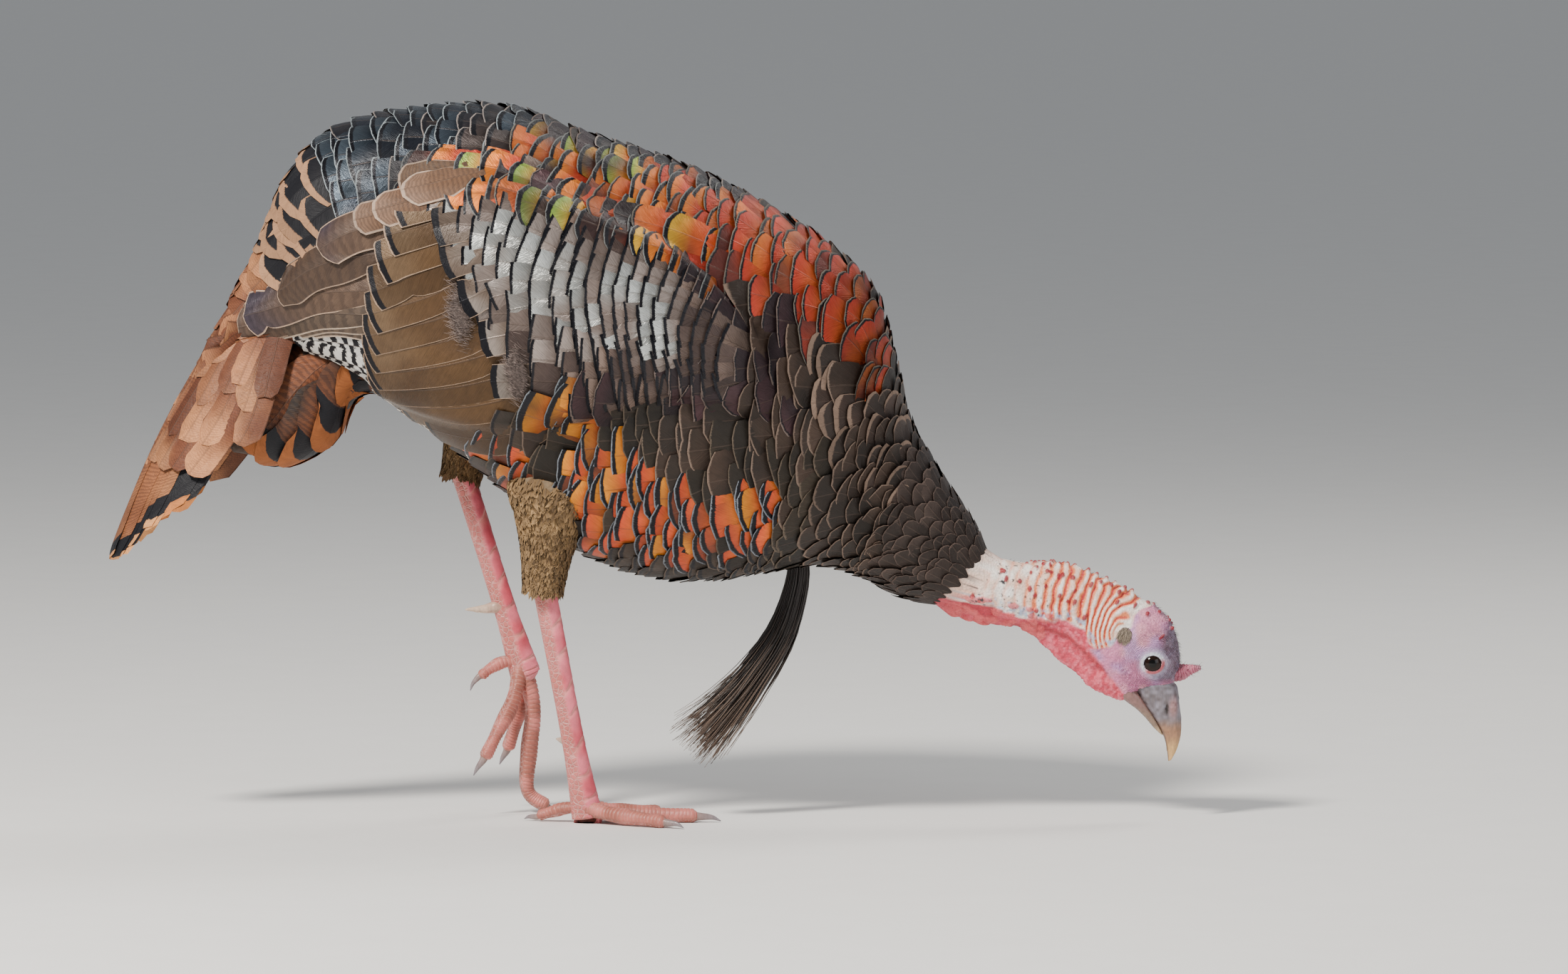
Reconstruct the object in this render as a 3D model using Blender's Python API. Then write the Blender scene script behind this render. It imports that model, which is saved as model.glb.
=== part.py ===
"""A male wild turkey, life size, walking slowly with its head lowered to feed.

The model is a still one, and has no joints. Its frame is in metres: +X is the way the bird faces, +Y its left,
+Z up, and the floor is Z = 0. Sizes in the tables are millimetres.

The plumage forms are lofted through named sections. A section joins a point on the upper outline to a point on the
lower outline, and says how far the form reaches to each side of the middle plane. Limbs are tubes along a smooth
path. The wings are shells that lie on the trunk, parted into the feather groups that a person would name.
"""

import math

import bmesh
import bpy
import numpy as np

MM = 0.001
SEAM = 0.3  # the gap that parts neighbouring solids
ROOM = 0.55  # how far a cutter stands out from the solid that it makes room for
WING_GAP = 2.2  # the room between the trunk and the wing that lies on it
SQUARENESS = 2.3  # the power of the superellipse of a body section, 2 being a true ellipse
HIDDEN = "cutter_"

# Upper outline x, z; lower outline x, z; half width; how far the widest level is above the middle, as a share.
TRUNK = {
    "rump_end": (-345, 404, -331, 373, 17, 0.0),
    "tail_root": (-318, 458, -284, 370, 38, 0.0),
    "tail_coverts": (-290, 521, -246, 352, 62, 0.0),
    "rump": (-250, 555, -208, 326, 84, 0.0),
    "loin": (-190, 568, -165, 295, 103, 0.0),
    "back": (-120, 570, -112, 250, 116, 0.05),
    "mid_back": (-50, 547, -58, 208, 122, 0.05),
    "mantle": (20, 524, 5, 189, 123, 0.05),
    "shoulders": (85, 493, 58, 190, 118, 0.0),
    "fore_mantle": (137, 461, 98, 197, 104, -0.05),
    "crop_top": (175, 423, 128, 200, 88, -0.05),
    "hind_neck": (191, 372, 148, 195, 75, 0.0),
    "neck_root": (204, 320, 166, 188, 64, 0.0),
    "low_neck": (229, 275, 188, 176, 52, 0.0),
    "collar": (251, 243, 207, 170, 41, 0.0),
    "neck_edge": (267, 212, 222, 167, 31, 0.0),
}
# The solids of the plumage: first and last section, rings, and material.
TRUNK_PARTS = {
    "rump_coverts": (0.0, 3.0, 8, "plumage_black"),
    "trunk": (3.0, 9.6, 16, "plumage_bronze"),
    "feathered_neck": (9.6, 15.0, 12, "plumage_dark"),
}
TRUNK_AROUND = 30

# The bare neck and the head, which point forward and then down.
NECK = {
    "neck_edge": (268.5, 208, 229.5, 172, 25, 0.0),
    "nape_low": (289, 204, 262, 163, 22, 0.0),
    "nape_mid": (313, 204, 290, 157, 20.5, 0.0),
    "nape": (334, 200, 309, 151, 19.5, 0.0),
    "nape_high": (352, 192, 326, 142, 19, 0.0),
    "jaw_back": (368, 185, 342, 130, 19, 0.0),
    "ear": (384, 175.5, 354, 117, 19.5, 0.0),
    "crown": (398, 168, 365, 107, 19.5, 0.0),
    "brow": (408.5, 155, 372, 99.5, 18, 0.05),
    "eye": (414, 139, 378, 101, 15.5, 0.1),
    "forehead": (415, 122, 383, 103, 13, 0.1),
    "bill_root": (411, 109, 389, 105, 9.5, 0.0),
}
NECK_PARTS = {
    "neck": (0.0, 5.5, 10, "neck_skin"),
    "head": (5.5, 11.0, 13, "head_skin"),
}
NECK_AROUND = 22

UPPER_BILL = {
    "root": (406, 112, 374, 108, 9, 0.0),
    "base": (413, 105.5, 378.5, 103.4, 10.5, -0.1),
    "nostril": (415, 92, 387.5, 89.2, 9, -0.1),
    "ridge": (416.5, 78, 396.5, 76.4, 7, -0.1),
    "hook_top": (416, 66, 402.6, 65, 4.8, -0.1),
    "hook": (413, 55, 405, 54.5, 2.8, 0.0),
    "tip": (408.6, 46.8, 406.2, 45.6, 0.9, 0.0),
}
LOWER_BILL = {
    "root": (369, 112, 363, 103, 9.5, 0.0),
    "base": (376.2, 102.3, 371.5, 94.3, 9.6, 0.0),
    "branch": (384, 92.2, 379.6, 88.2, 8.2, 0.0),
    "gonys": (391.6, 81.6, 387.5, 80.8, 6.2, 0.0),
    "fore": (397.6, 73.3, 394.2, 72.9, 4.0, 0.0),
    "tip": (401.2, 67.6, 400.0, 67.2, 1.3, 0.0),
}
WATTLE = {
    "hind": (284, 160, 283, 151.5, 3, 0.0),
    "throat": (305, 158, 300, 143.5, 7, 0.0),
    "middle": (327, 148, 315, 129.5, 8.5, 0.0),
    "full": (345, 134, 330, 113.5, 9, 0.0),
    "jaw": (361, 119, 346, 103, 9, 0.0),
    "chin": (371, 107, 361, 96.5, 8, 0.0),
    "fore": (376, 100, 370, 93.8, 5, 0.0),
}
CARUNCLES = {
    "hind": (221, 181, 219, 172.5, 8, 0.0),
    "bulb": (237, 184, 234, 160.5, 17, 0.0),
    "waist": (256, 178, 252, 154.5, 16, 0.0),
    "fore": (275, 170, 272, 152, 12, 0.0),
    "end": (293, 161, 291, 152.5, 5, 0.0),
}
UNDER_TAIL = {
    "vent": (-200, 352, -198, 332, 24, 0.0),
    "root": (-236, 384, -236, 334, 36, 0.0),
    "full": (-285, 388, -257, 296, 44, 0.0),
    "spread": (-328, 352, -297, 279, 40, 0.0),
    "tip": (-352, 312, -338, 283, 20, 0.0),
}

# The shares of a trunk section's height, from the top, where the folded wing begins and ends, and its thickness.
WING_ORDER = (0.1, 1.0, 2.0, 3.0, 4.0, 5.0, 6.0, 7.0, 8.0, 8.6)
WING_TOP = (0.30, 0.42, 0.36, 0.24, 0.19, 0.16, 0.16, 0.20, 0.30, 0.40)
WING_LOW = (0.96, 0.97, 0.96, 0.97, 0.93, 0.84, 0.70, 0.58, 0.54, 0.50)
WING_THICK = (3.5, 5.0, 7.0, 9.0, 11.0, 13.0, 15.0, 14.0, 9.0, 2.5)
WING_EDGE = 0.3  # the wing's thickness at its upper and lower edges, as a share of that in the middle
# Group: from and to along the trunk's sections, from and to across the wing, and its material.
WING_GROUPS = {
    "tertials": (0.35, 2.5, 0.0, 0.76, "wing_brown"),
    "primaries": (0.9, 4.4, 0.76, 1.0, "wing_barred"),
    "secondaries": (2.5, 4.4, 0.0, 0.76, "wing_brown"),
    "coverts": (4.4, 6.6, 0.0, 1.0, "wing_bronze"),
    "shoulder": (6.6, 8.6, 0.0, 1.0, "wing_bronze"),
}

# The folded tail: along its axis, the x and z of its ridge, half width, drop of its sides and thickness.
TAIL = (
    (-258, 452, 16, 20, 10),
    (-308, 426, 22, 26, 10),
    (-343, 388, 36, 44, 10),
    (-371, 344, 47, 52, 9),
    (-395, 298, 46, 42, 7),
    (-414, 254, 40, 24, 4.5),
    (-428, 218, 29, 9, 2.5),
    (-430.6, 205, 22, 5, 2),
)
TAIL_FEATHERS = 9  # the lobes along the end of the folded tail
TAIL_LOBE = 5.0  # how far a lobe's middle stands out

BEARD = ((113, 212), (111, 185), (99, 147), (75, 110), (50, 79), (26, 53))
BEARD_BROAD = (7, 7.5, 9.5, 13, 17.5, 20)
BEARD_DEEP = (4, 5, 6, 8, 10, 12)

# Each leg: side, hip, hock and foot joint as x, y, z.
LEGS = {
    "right": {"hip": (-78, -56, 292), "hock": (-89, -44, 188), "foot": (-57, -36, 15)},
    "left": {"hip": (-134, 58, 350), "hock": (-156, 46, 272), "foot": (-109, 42, 121)},
}
THIGH_RADII = (42, 40, 28, 21, 17)  # from hip to hock
SHANK_RADII = (13.5, 9.6, 8.6, 8.8, 12.0)  # from hock to foot, fore and aft
SHANK_FLAT = 0.78  # the shank's width as a share of its depth
SPUR_LENGTH, SPUR_RADIUS = 24, 5.2
SPUR_AT = 0.7  # its place down the shank
SPUR_HEADINGS = {"right": (-0.4, 0.9, -0.16), "left": (-0.93, -0.32, -0.16)}

# Each toe's joints after the foot joint, as x, y, z, then the claw's tip. The right foot is flat on the floor and
# the left one hangs from its ankle as it leaves the floor, its middle toe still on it.
TOES = {
    "right": {
        "middle": ((-30, -34, 8), (0, -33, 6.2), (33, -32, 4.8), (51, -32, 1.2)),
        "inner": ((-38, -22, 8), (-18, -7, 6), (3, 7, 4.4), (17, 15, 1.2)),
        "outer": ((-36, -49, 8), (-14, -63, 6), (8, -76, 4.4), (22, -84, 1.2)),
        "hind": ((-71, -31, 11), (-84, -25, 7), (-94, -20, 3.6), (-105, -15, 1.2)),
    },
    "left": {
        "middle": ((-100, 42, 86), (-103, 42, 50), (-104, 42, 18), (-88, 42, 4.4), (-70, 42, 1.2)),
        "inner": ((-115, 30, 92), (-127, 20, 68), (-138, 14, 46), (-146, 12, 33)),
        "outer": ((-110, 54, 90), (-115, 64, 68), (-121, 70, 48), (-127, 72, 36)),
        "hind": ((-122, 38, 122), (-133, 35, 117), (-142, 33, 110), (-149, 32, 99)),
    },
}
TOE_RADII = {"middle": 7.2, "inner": 6.6, "outer": 6.6, "hind": 5.4}
TOE_TAPER = 0.74
KNUCKLE = 0.09  # how far a toe pad swells, as a share of the radius
CLAW_RADIUS = 0.62  # the claw's root as a share of the toe's end

EYE_CENTRE, EYE_RADIUS = (393, 10.2, 125), 9.6
EYE_AROUND, EYE_LEVELS = 14, 9
SNOOD = ((404, 118.5), (415, 118), (423, 119), (431.9, 120.6))
SNOOD_RADII = (6.4, 6, 4.4, 1.8)

# Colour, roughness, metallic.
MATERIALS = {
    "plumage_bronze": ((0.16, 0.075, 0.045), 0.42, 0.3),
    "plumage_dark": ((0.055, 0.042, 0.036), 0.5, 0.15),
    "plumage_black": ((0.022, 0.025, 0.033), 0.35, 0.3),
    "wing_bronze": ((0.24, 0.21, 0.19), 0.35, 0.4),
    "wing_brown": ((0.15, 0.10, 0.065), 0.5, 0.1),
    "wing_barred": ((0.42, 0.41, 0.39), 0.6, 0.0),
    "tail_chestnut": ((0.38, 0.17, 0.08), 0.6, 0.0),
    "thigh_down": ((0.33, 0.23, 0.13), 0.85, 0.0),
    "neck_skin": ((0.78, 0.48, 0.42), 0.55, 0.0),
    "wattle_skin": ((0.72, 0.16, 0.19), 0.5, 0.0),
    "head_skin": ((0.62, 0.40, 0.50), 0.55, 0.0),
    "leg_skin": ((0.66, 0.24, 0.25), 0.5, 0.0),
    "horn": ((0.45, 0.30, 0.17), 0.4, 0.0),
    "eye": ((0.03, 0.012, 0.008), 0.05, 0.0),
    "bristle": ((0.05, 0.038, 0.033), 0.5, 0.0),
}


# --- curves and sections ---------------------------------------------------------------------------------------


def smooth(rows, at):
    """Values of a table's rows at places along it, by a Catmull-Rom curve through the rows."""
    rows = np.asarray(rows, float)
    at = np.clip(np.asarray(at, float), 0, len(rows) - 1)
    i = np.minimum(at.astype(int), len(rows) - 2)
    t = (at - i)[..., None]
    ends = np.vstack([2 * rows[0] - rows[1], rows, 2 * rows[-1] - rows[-2]])
    a, b, c, d = (ends[i + k] for k in range(4))
    return 0.5 * (2 * b + (c - a) * t + (2 * a - 5 * b + 4 * c - d) * t**2 + (3 * b - a - 3 * c + d) * t**3)


def power(value, exponent):
    return np.sign(value) * np.abs(value) ** exponent


class Form:
    """A form lofted through sections: place 0 is the first section, 1 the second, and so on."""

    def __init__(self, sections):
        self.rows = np.array(list(sections.values()), float)
        self.last = len(self.rows) - 1.0

    def points(self, at, angle):
        """Points at places along the form and angles round it, from the top towards the left side."""
        at, angle = np.broadcast_arrays(np.asarray(at, float), np.asarray(angle, float))
        row = smooth(self.rows, at)
        top, low = row[..., 0:2], row[..., 2:4]
        up = power(np.cos(angle), 2 / SQUARENESS)
        side = power(np.sin(angle), 2 / SQUARENESS)
        level = up + row[..., 5] * (1 - up**2)
        flat = (top + low) / 2 + (top - low) / 2 * level[..., None]
        return np.stack([flat[..., 0], side * row[..., 4], flat[..., 1]], -1)

    def outwards(self, at, angle):
        """Unit normals, from the differences between near points."""
        step = 0.02
        at = np.clip(at, step, self.last - step)
        along = self.points(at + step, angle) - self.points(at - step, angle)
        round_it = self.points(at, angle + step) - self.points(at, angle - step)
        normal = np.cross(along, round_it)
        return normal / np.linalg.norm(normal, axis=-1, keepdims=True)

    def rings(self, at, around):
        """Rings of points at the places, the end ones drawn back by half a seam from what lies beyond."""
        angle = np.arange(around) * 2 * math.pi / around
        rings = self.points(np.asarray(at)[:, None], angle[None, :])
        for end, towards in ((0, 1), (-1, -2)):
            step = rings[towards].mean(0) - rings[end].mean(0)
            rings[end] += step / np.linalg.norm(step) * SEAM / 2
        return rings


def tube_rings(path, broad, deep, count, around, side):
    """Rings round a path. broad is the radius across the side direction, and deep the radius along it."""
    places = np.linspace(0, len(path) - 1, count)
    centre = smooth(path, places)
    radii = np.stack([broad, deep], 1)
    radii = smooth(radii, np.linspace(0, len(radii) - 1, count))
    tangent = np.gradient(centre, axis=0)
    tangent /= np.linalg.norm(tangent, axis=1, keepdims=True)
    side = np.asarray(side, float) - tangent * (tangent @ np.asarray(side, float))[:, None]
    side /= np.linalg.norm(side, axis=1, keepdims=True)
    across = np.cross(tangent, side)
    angle = np.arange(around) * 2 * math.pi / around
    round_it = np.cos(angle)[None, :, None] * across[:, None] * radii[:, 0, None, None]
    return centre[:, None] + round_it + np.sin(angle)[None, :, None] * side[:, None] * radii[:, 1, None, None]


# --- objects ---------------------------------------------------------------------------------------------------


def clear_scene():
    for obj in list(bpy.data.objects):
        bpy.data.objects.remove(obj)


def make_materials():
    made = {}
    for name, (colour, roughness, metallic) in MATERIALS.items():
        material = bpy.data.materials.new(name)
        material.use_nodes = True
        shader = material.node_tree.nodes["Principled BSDF"]
        shader.inputs["Base Color"].default_value = (*colour, 1)
        shader.inputs["Roughness"].default_value = roughness
        shader.inputs["Metallic"].default_value = metallic
        made[name] = material
    return made


def add_object(name, points, faces, material):
    """One closed object from points in millimetres, smooth but for its sharp edges."""
    mesh = bpy.data.meshes.new(name)
    mesh.from_pydata((np.asarray(points).reshape(-1, 3) * MM).tolist(), [], faces)
    tidy = bmesh.new()
    tidy.from_mesh(mesh)
    bmesh.ops.remove_doubles(tidy, verts=tidy.verts, dist=0.01 * MM)
    bmesh.ops.recalc_face_normals(tidy, faces=tidy.faces)
    tidy.to_mesh(mesh)
    tidy.free()
    mesh.shade_smooth()
    mesh.set_sharp_from_angle(angle=math.radians(50))
    obj = bpy.data.objects.new(name, mesh)
    bpy.context.scene.collection.objects.link(obj)
    if material:
        mesh.materials.append(bpy.data.materials[material])
    else:
        obj.hide_render = True
        obj.display_type = "WIRE"
    return obj


def ring_faces(count, around):
    """Faces that join each ring to the next, and close the first and the last one."""
    faces = [list(range(around)), list(range((count - 1) * around, count * around))[::-1]]
    for i in range(count - 1):
        for j in range(around):
            k = (j + 1) % around
            faces.append([i * around + j, (i + 1) * around + j, (i + 1) * around + k, i * around + k])
    return faces


def add_rings(name, rings, material):
    count, around = rings.shape[:2]
    return add_object(name, rings, ring_faces(count, around), material)


def add_form(name, form, count, around, material):
    """A whole form as one object."""
    return add_rings(name, form.rings(np.linspace(0, form.last, count), around), material)


def add_parted(name, form, parts, around):
    """A form parted by thin cuts across it, as its objects by name, and the cutter for the whole of it."""
    made, places = {}, []
    for part, (first, last, count, material) in parts.items():
        at = np.linspace(first, last, count)
        made[part] = add_rings(part, form.rings(at, around), material)
        places += list(at[1:] if places else at)
    return made, room_for(add_rings(name, form.rings(places, around), None))


def add_slab(name, outer, inner, material):
    """A closed plate between two grids of points."""
    rows, columns = outer.shape[:2]
    total = rows * columns
    faces = []
    for i in range(rows - 1):
        for j in range(columns - 1):
            a, b = i * columns + j, (i + 1) * columns + j
            faces.append([a, a + 1, b + 1, b])
            faces.append([total + a, total + b, total + b + 1, total + a + 1])
    rim = [i * columns for i in range(rows)] + [(rows - 1) * columns + j for j in range(1, columns)]
    rim += [i * columns + columns - 1 for i in range(rows - 2, -1, -1)] + list(range(columns - 2, 0, -1))
    for a, b in zip(rim, rim[1:] + rim[:1]):
        faces.append([a, b, total + b, total + a])
    return add_object(name, np.concatenate([outer.reshape(-1, 3), inner.reshape(-1, 3)]), faces, material)


def room_for(obj):
    """A cutter a little larger than the object all round, that parts its neighbours from it."""
    mesh = obj.data.copy()
    points = np.empty(3 * len(mesh.vertices))
    normals = np.empty_like(points)
    mesh.vertices.foreach_get("co", points)
    mesh.vertex_normals.foreach_get("vector", normals)
    mesh.vertices.foreach_set("co", points + normals * ROOM * MM)
    room = bpy.data.objects.new(HIDDEN + obj.name, mesh)
    bpy.context.scene.collection.objects.link(room)
    room.hide_render = True
    room.display_type = "WIRE"
    return room


def cut(obj, *cutters):
    """Takes the cutters' room out of an object."""
    for cutter in cutters:
        modifier = obj.modifiers.new(cutter.name, "BOOLEAN")
        modifier.operation = "DIFFERENCE"
        modifier.solver = "EXACT"
        modifier.object = cutter


# --- the bird --------------------------------------------------------------------------------------------------


def build_plumage(cutters):
    """Rump, trunk and feathered neck, parted by thin cuts across one form."""
    form = Form(TRUNK)
    _, cutters["trunk"] = add_parted("plumage", form, TRUNK_PARTS, TRUNK_AROUND)
    return form


def build_wings(form, cutters):
    """Each folded wing as a shell that lies on the trunk, parted into its groups of feathers."""
    order = np.arange(len(WING_ORDER), dtype=float)

    def along(values, at):
        return smooth(np.array(values)[:, None], np.interp(at, WING_ORDER, order))[..., 0]

    for side, sign in (("left", 1), ("right", -1)):
        for group, (first, last, upper, lower, material) in WING_GROUPS.items():
            at = np.linspace(first, last, 3 + round(1.6 * (last - first)))[:, None]
            across = np.linspace(upper, lower, 2 + round(6 * (lower - upper)))[None, :]
            share = along(WING_TOP, at) * (1 - across) + along(WING_LOW, at) * across
            angle = np.arccos(power(1 - 2 * share, SQUARENESS / 2))
            surface = form.points(at, angle)
            normal = form.outwards(np.broadcast_to(at, angle.shape), angle)
            crown = WING_EDGE + (1 - WING_EDGE) * (4 * across * (1 - across)) ** 0.6
            thick = along(WING_THICK, at) * crown
            outer = surface + normal * (WING_GAP + thick)[..., None]
            inner = surface + normal * WING_GAP
            for edge, towards in ((0, 1), (-1, -2)):
                part_seam(outer, inner, edge, towards, 0)
                part_seam(outer, inner, edge, towards, 1)
            mirror = np.array([1, sign, 1])
            wing = add_slab(f"wing_{group}_{side}", outer * mirror, inner * mirror, material)
            if group in ("tertials", "primaries"):
                cut(wing, cutters["tail"])
            if group in ("coverts", "primaries"):
                cutters[f"{group}_{side}"] = room_for(wing)


def part_seam(outer, inner, edge, towards, axis):
    """Draws one edge of a slab back by half a seam, alike on its outer and inner side."""
    pick, near = (edge, towards) if axis == 0 else ((slice(None), edge), (slice(None), towards))
    for grid in (outer, inner):
        step = grid[near] - grid[pick]
        grid[pick] += step / np.linalg.norm(step, axis=-1, keepdims=True) * SEAM


def build_tail(cutters):
    """The folded tail as an arched fan with lobes at its end."""
    stations = smooth(TAIL, np.linspace(0, len(TAIL) - 1, 9))
    across = np.linspace(-1, 1, 4 * TAIL_FEATHERS // 2 + 1)
    axis = np.gradient(stations[:, :2], axis=0)
    axis /= np.linalg.norm(axis, axis=1, keepdims=True)
    up = np.stack([-axis[:, 1], axis[:, 0]], 1) * -1
    rings = []
    for i, (x, z, half_width, drop, thick) in enumerate(stations):
        lobe = TAIL_LOBE * np.abs(np.cos(across * TAIL_FEATHERS * math.pi / 2)) * (i == len(stations) - 1)
        sheet = np.array([x, z]) - up[i] * (drop * across**2)[:, None] + axis[i] * lobe[:, None]
        half = up[i] * thick / 2
        upper = np.stack([sheet[:, 0] + half[0], across * half_width, sheet[:, 1] + half[1]], 1)
        under = np.stack([sheet[:, 0] - half[0], across * (half_width - thick / 4), sheet[:, 1] - half[1]], 1)
        rings.append(np.concatenate([upper, under[::-1]]))
    rings = np.array(rings)
    tail = add_rings("tail_fan", rings, "tail_chestnut")
    cut(tail, cutters["trunk"])
    cutters["tail"] = room_for(tail)


def build_under_tail(cutters):
    """The broad coverts under the tail, between the tips of the primaries."""
    coverts = add_form("under_tail_coverts", Form(UNDER_TAIL), 9, 18, "tail_chestnut")
    cut(coverts, *(cutters[name] for name in ("trunk", "tail", "primaries_left", "primaries_right")))


def build_head(cutters):
    """The bare neck and head, with the bill, eyes, snood, wattle and caruncles that are set on them."""
    parts, cutters["head"] = add_parted("neck", Form(NECK), NECK_PARTS, NECK_AROUND)
    for side, sign in (("left", 1), ("right", -1)):
        centre = np.array(EYE_CENTRE) * (1, sign, 1)
        cut(parts["head"], room_for(add_ball(f"eye_{side}", centre, EYE_RADIUS, "eye")))
    lower_bill = add_form("lower_bill", Form(LOWER_BILL), 9, 12, "horn")
    room = room_for(lower_bill)
    cut(lower_bill, cutters["head"])
    upper_bill = add_form("upper_bill", Form(UPPER_BILL), 11, 14, "horn")
    cut(upper_bill, cutters["head"], room)
    path = [(x, 0, z) for x, z in SNOOD]
    snood = add_rings("snood", tube_rings(path, SNOOD_RADII, SNOOD_RADII, 6, 10, (0, 1, 0)), "wattle_skin")
    cut(snood, cutters["head"])
    wattle = add_form("throat_wattle", Form(WATTLE), 10, 12, "wattle_skin")
    cut(wattle, cutters["head"], room)
    caruncles = add_form("neck_caruncles", Form(CARUNCLES), 8, 14, "wattle_skin")
    cut(caruncles, cutters["head"], cutters["trunk"], room_for(wattle))


def add_ball(name, centre, radius, material):
    """A ball with its poles at its sides, made of rings."""
    tilt = np.linspace(0.02, math.pi - 0.02, EYE_LEVELS)
    angle = np.arange(EYE_AROUND) * 2 * math.pi / EYE_AROUND
    rings = np.stack(
        [
            np.sin(tilt)[:, None] * np.cos(angle),
            np.repeat(np.cos(tilt)[:, None], EYE_AROUND, 1),
            np.sin(tilt)[:, None] * np.sin(angle),
        ],
        -1,
    )
    return add_rings(name, np.asarray(centre) + rings * radius, material)


def build_beard(cutters):
    """The tuft of bristles that hangs from the breast."""
    path = [(x, 0, z) for x, z in BEARD]
    beard = add_rings("beard", tube_rings(path, BEARD_BROAD, BEARD_DEEP, 10, 10, (0, 1, 0)), "bristle")
    cut(beard, cutters["trunk"])


def build_legs(cutters):
    """Thigh, shank, spur, toes and claws of each leg."""
    for side, leg in LEGS.items():
        hip, hock, foot = (np.array(leg[name], float) for name in ("hip", "hock", "foot"))
        down = (hock - hip) / np.linalg.norm(hock - hip)
        thigh = tube_rings([hip, (hip + hock) / 2, hock], THIGH_RADII, THIGH_RADII, 7, 14, (0, 1, 0))
        thigh = add_rings(f"thigh_{side}", thigh, "thigh_down")
        cut(thigh, cutters["trunk"], cutters[f"coverts_{side}"], cutters[f"primaries_{side}"])
        # The shank begins just under the thigh's last ring, and ends in the pad under the toes' roots.
        start = hock + down * SEAM
        shank_deep = np.array(SHANK_RADII) * SHANK_FLAT
        rings = tube_rings([start, (start + foot) / 2, foot], SHANK_RADII, shank_deep, 8, 12, (0, 1, 0))
        rings[0] = hock + down * SEAM + (rings[0] - rings[0].mean(0)) @ flattened(down)
        pad = pad_ring(rings[-1], foot, side)
        rings = np.concatenate([rings, pad])
        shank = add_rings(f"shank_{side}", rings, "leg_skin")
        room = room_for(shank)
        build_spur(side, start, foot, room)
        build_toes(side, foot, room)


def flattened(direction):
    """The matrix that lays points into the plane square to a direction."""
    return np.eye(3) - np.outer(direction, direction)


def pad_ring(last, foot, side):
    """The rings that round the shank off: the standing foot's pad ends in a flat on the floor."""
    shape = last - last.mean(0)
    if side == "right":
        flat = shape * (1, 1, 0)
        return np.array([flat * 1.0 + (foot[0], foot[1], 5.0), flat * 0.72 + (foot[0], foot[1], 0.0)])
    onward = np.array((3.5, 0, -6.0))
    return np.array([shape * 0.96 + foot + onward, shape * 0.6 + foot + onward * 1.9])


def build_spur(side, start, foot, room):
    """The horn spur on the inner, hind side of the shank."""
    root = start + (foot - start) * SPUR_AT
    heading = np.array(SPUR_HEADINGS[side])
    heading /= np.linalg.norm(heading)
    path = [root, root + heading * SPUR_LENGTH * 0.6, root + heading * (SPUR_LENGTH + 8) + (0, 0, 2.5)]
    radii = (SPUR_RADIUS, SPUR_RADIUS * 0.72, 0.7)
    spur = add_rings(f"spur_{side}", tube_rings(path, radii, radii, 7, 10, (0, 0, 1)), "horn")
    cut(spur, room)


def build_toes(side, foot, room):
    """Each toe with its pads, cut back from the shank, and the claw that goes on from its end."""
    rooms = [room]
    for toe, joints in TOES[side].items():
        radius = TOE_RADII[toe]
        path = np.array([foot * (1, 1, 0.8), *joints[:-1]], float)
        heading = path[-1] - path[0]
        lateral = (-heading[1], heading[0], 0) if side == "right" else (0, 1, 0)
        steps = 9
        swell = 1 + KNUCKLE * np.cos(np.linspace(0, 2, steps) * 2 * math.pi)
        radii = radius * np.linspace(1, TOE_TAPER, steps) * swell
        rings = tube_rings(path, radii, radii, steps, 8, lateral)
        rings[..., 2] = np.maximum(rings[..., 2], 0)
        made = add_rings(f"toe_{toe}_{side}", rings, "leg_skin")
        cut(made, *rooms)
        rooms.append(room_for(made))
        end, tip = path[-1], np.array(joints[-1], float)
        ahead = (path[-1] - path[-2]) / np.linalg.norm(path[-1] - path[-2])
        root = end + ahead * 2 * SEAM
        middle = root + (tip - root) * 0.5 + ahead * 2 + (0, 0, 1.0)
        claw_radii = np.array((1, 0.66, 0.22)) * radius * TOE_TAPER * CLAW_RADIUS
        claw = tube_rings([root, middle, tip], claw_radii, claw_radii * 0.85, 5, 6, lateral)
        claw[0] = root + (claw[0] - claw[0].mean(0)) @ flattened(ahead)
        claw[..., 2] = np.maximum(claw[..., 2], 0)
        add_rings(f"claw_{toe}_{side}", claw, "horn")


def main():
    clear_scene()
    make_materials()
    cutters = {}
    form = build_plumage(cutters)
    build_tail(cutters)
    build_wings(form, cutters)
    build_under_tail(cutters)
    build_head(cutters)
    build_beard(cutters)
    build_legs(cutters)


main()
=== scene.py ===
"""The looks of a male wild turkey that walks slowly with its head lowered to feed.

One skin covers the flesh, and every feather is a thin closed vane grown over it. The tables of sections are those of
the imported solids, in millimetres: +X is the way the bird faces, +Y its left, +Z up, and the floor is Z = 0.
"""

import itertools
import logging
import math
from dataclasses import dataclass, field
from enum import Enum
from typing import Any

import bpy
import numpy as np
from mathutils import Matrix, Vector
from numpy.typing import NDArray


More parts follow.
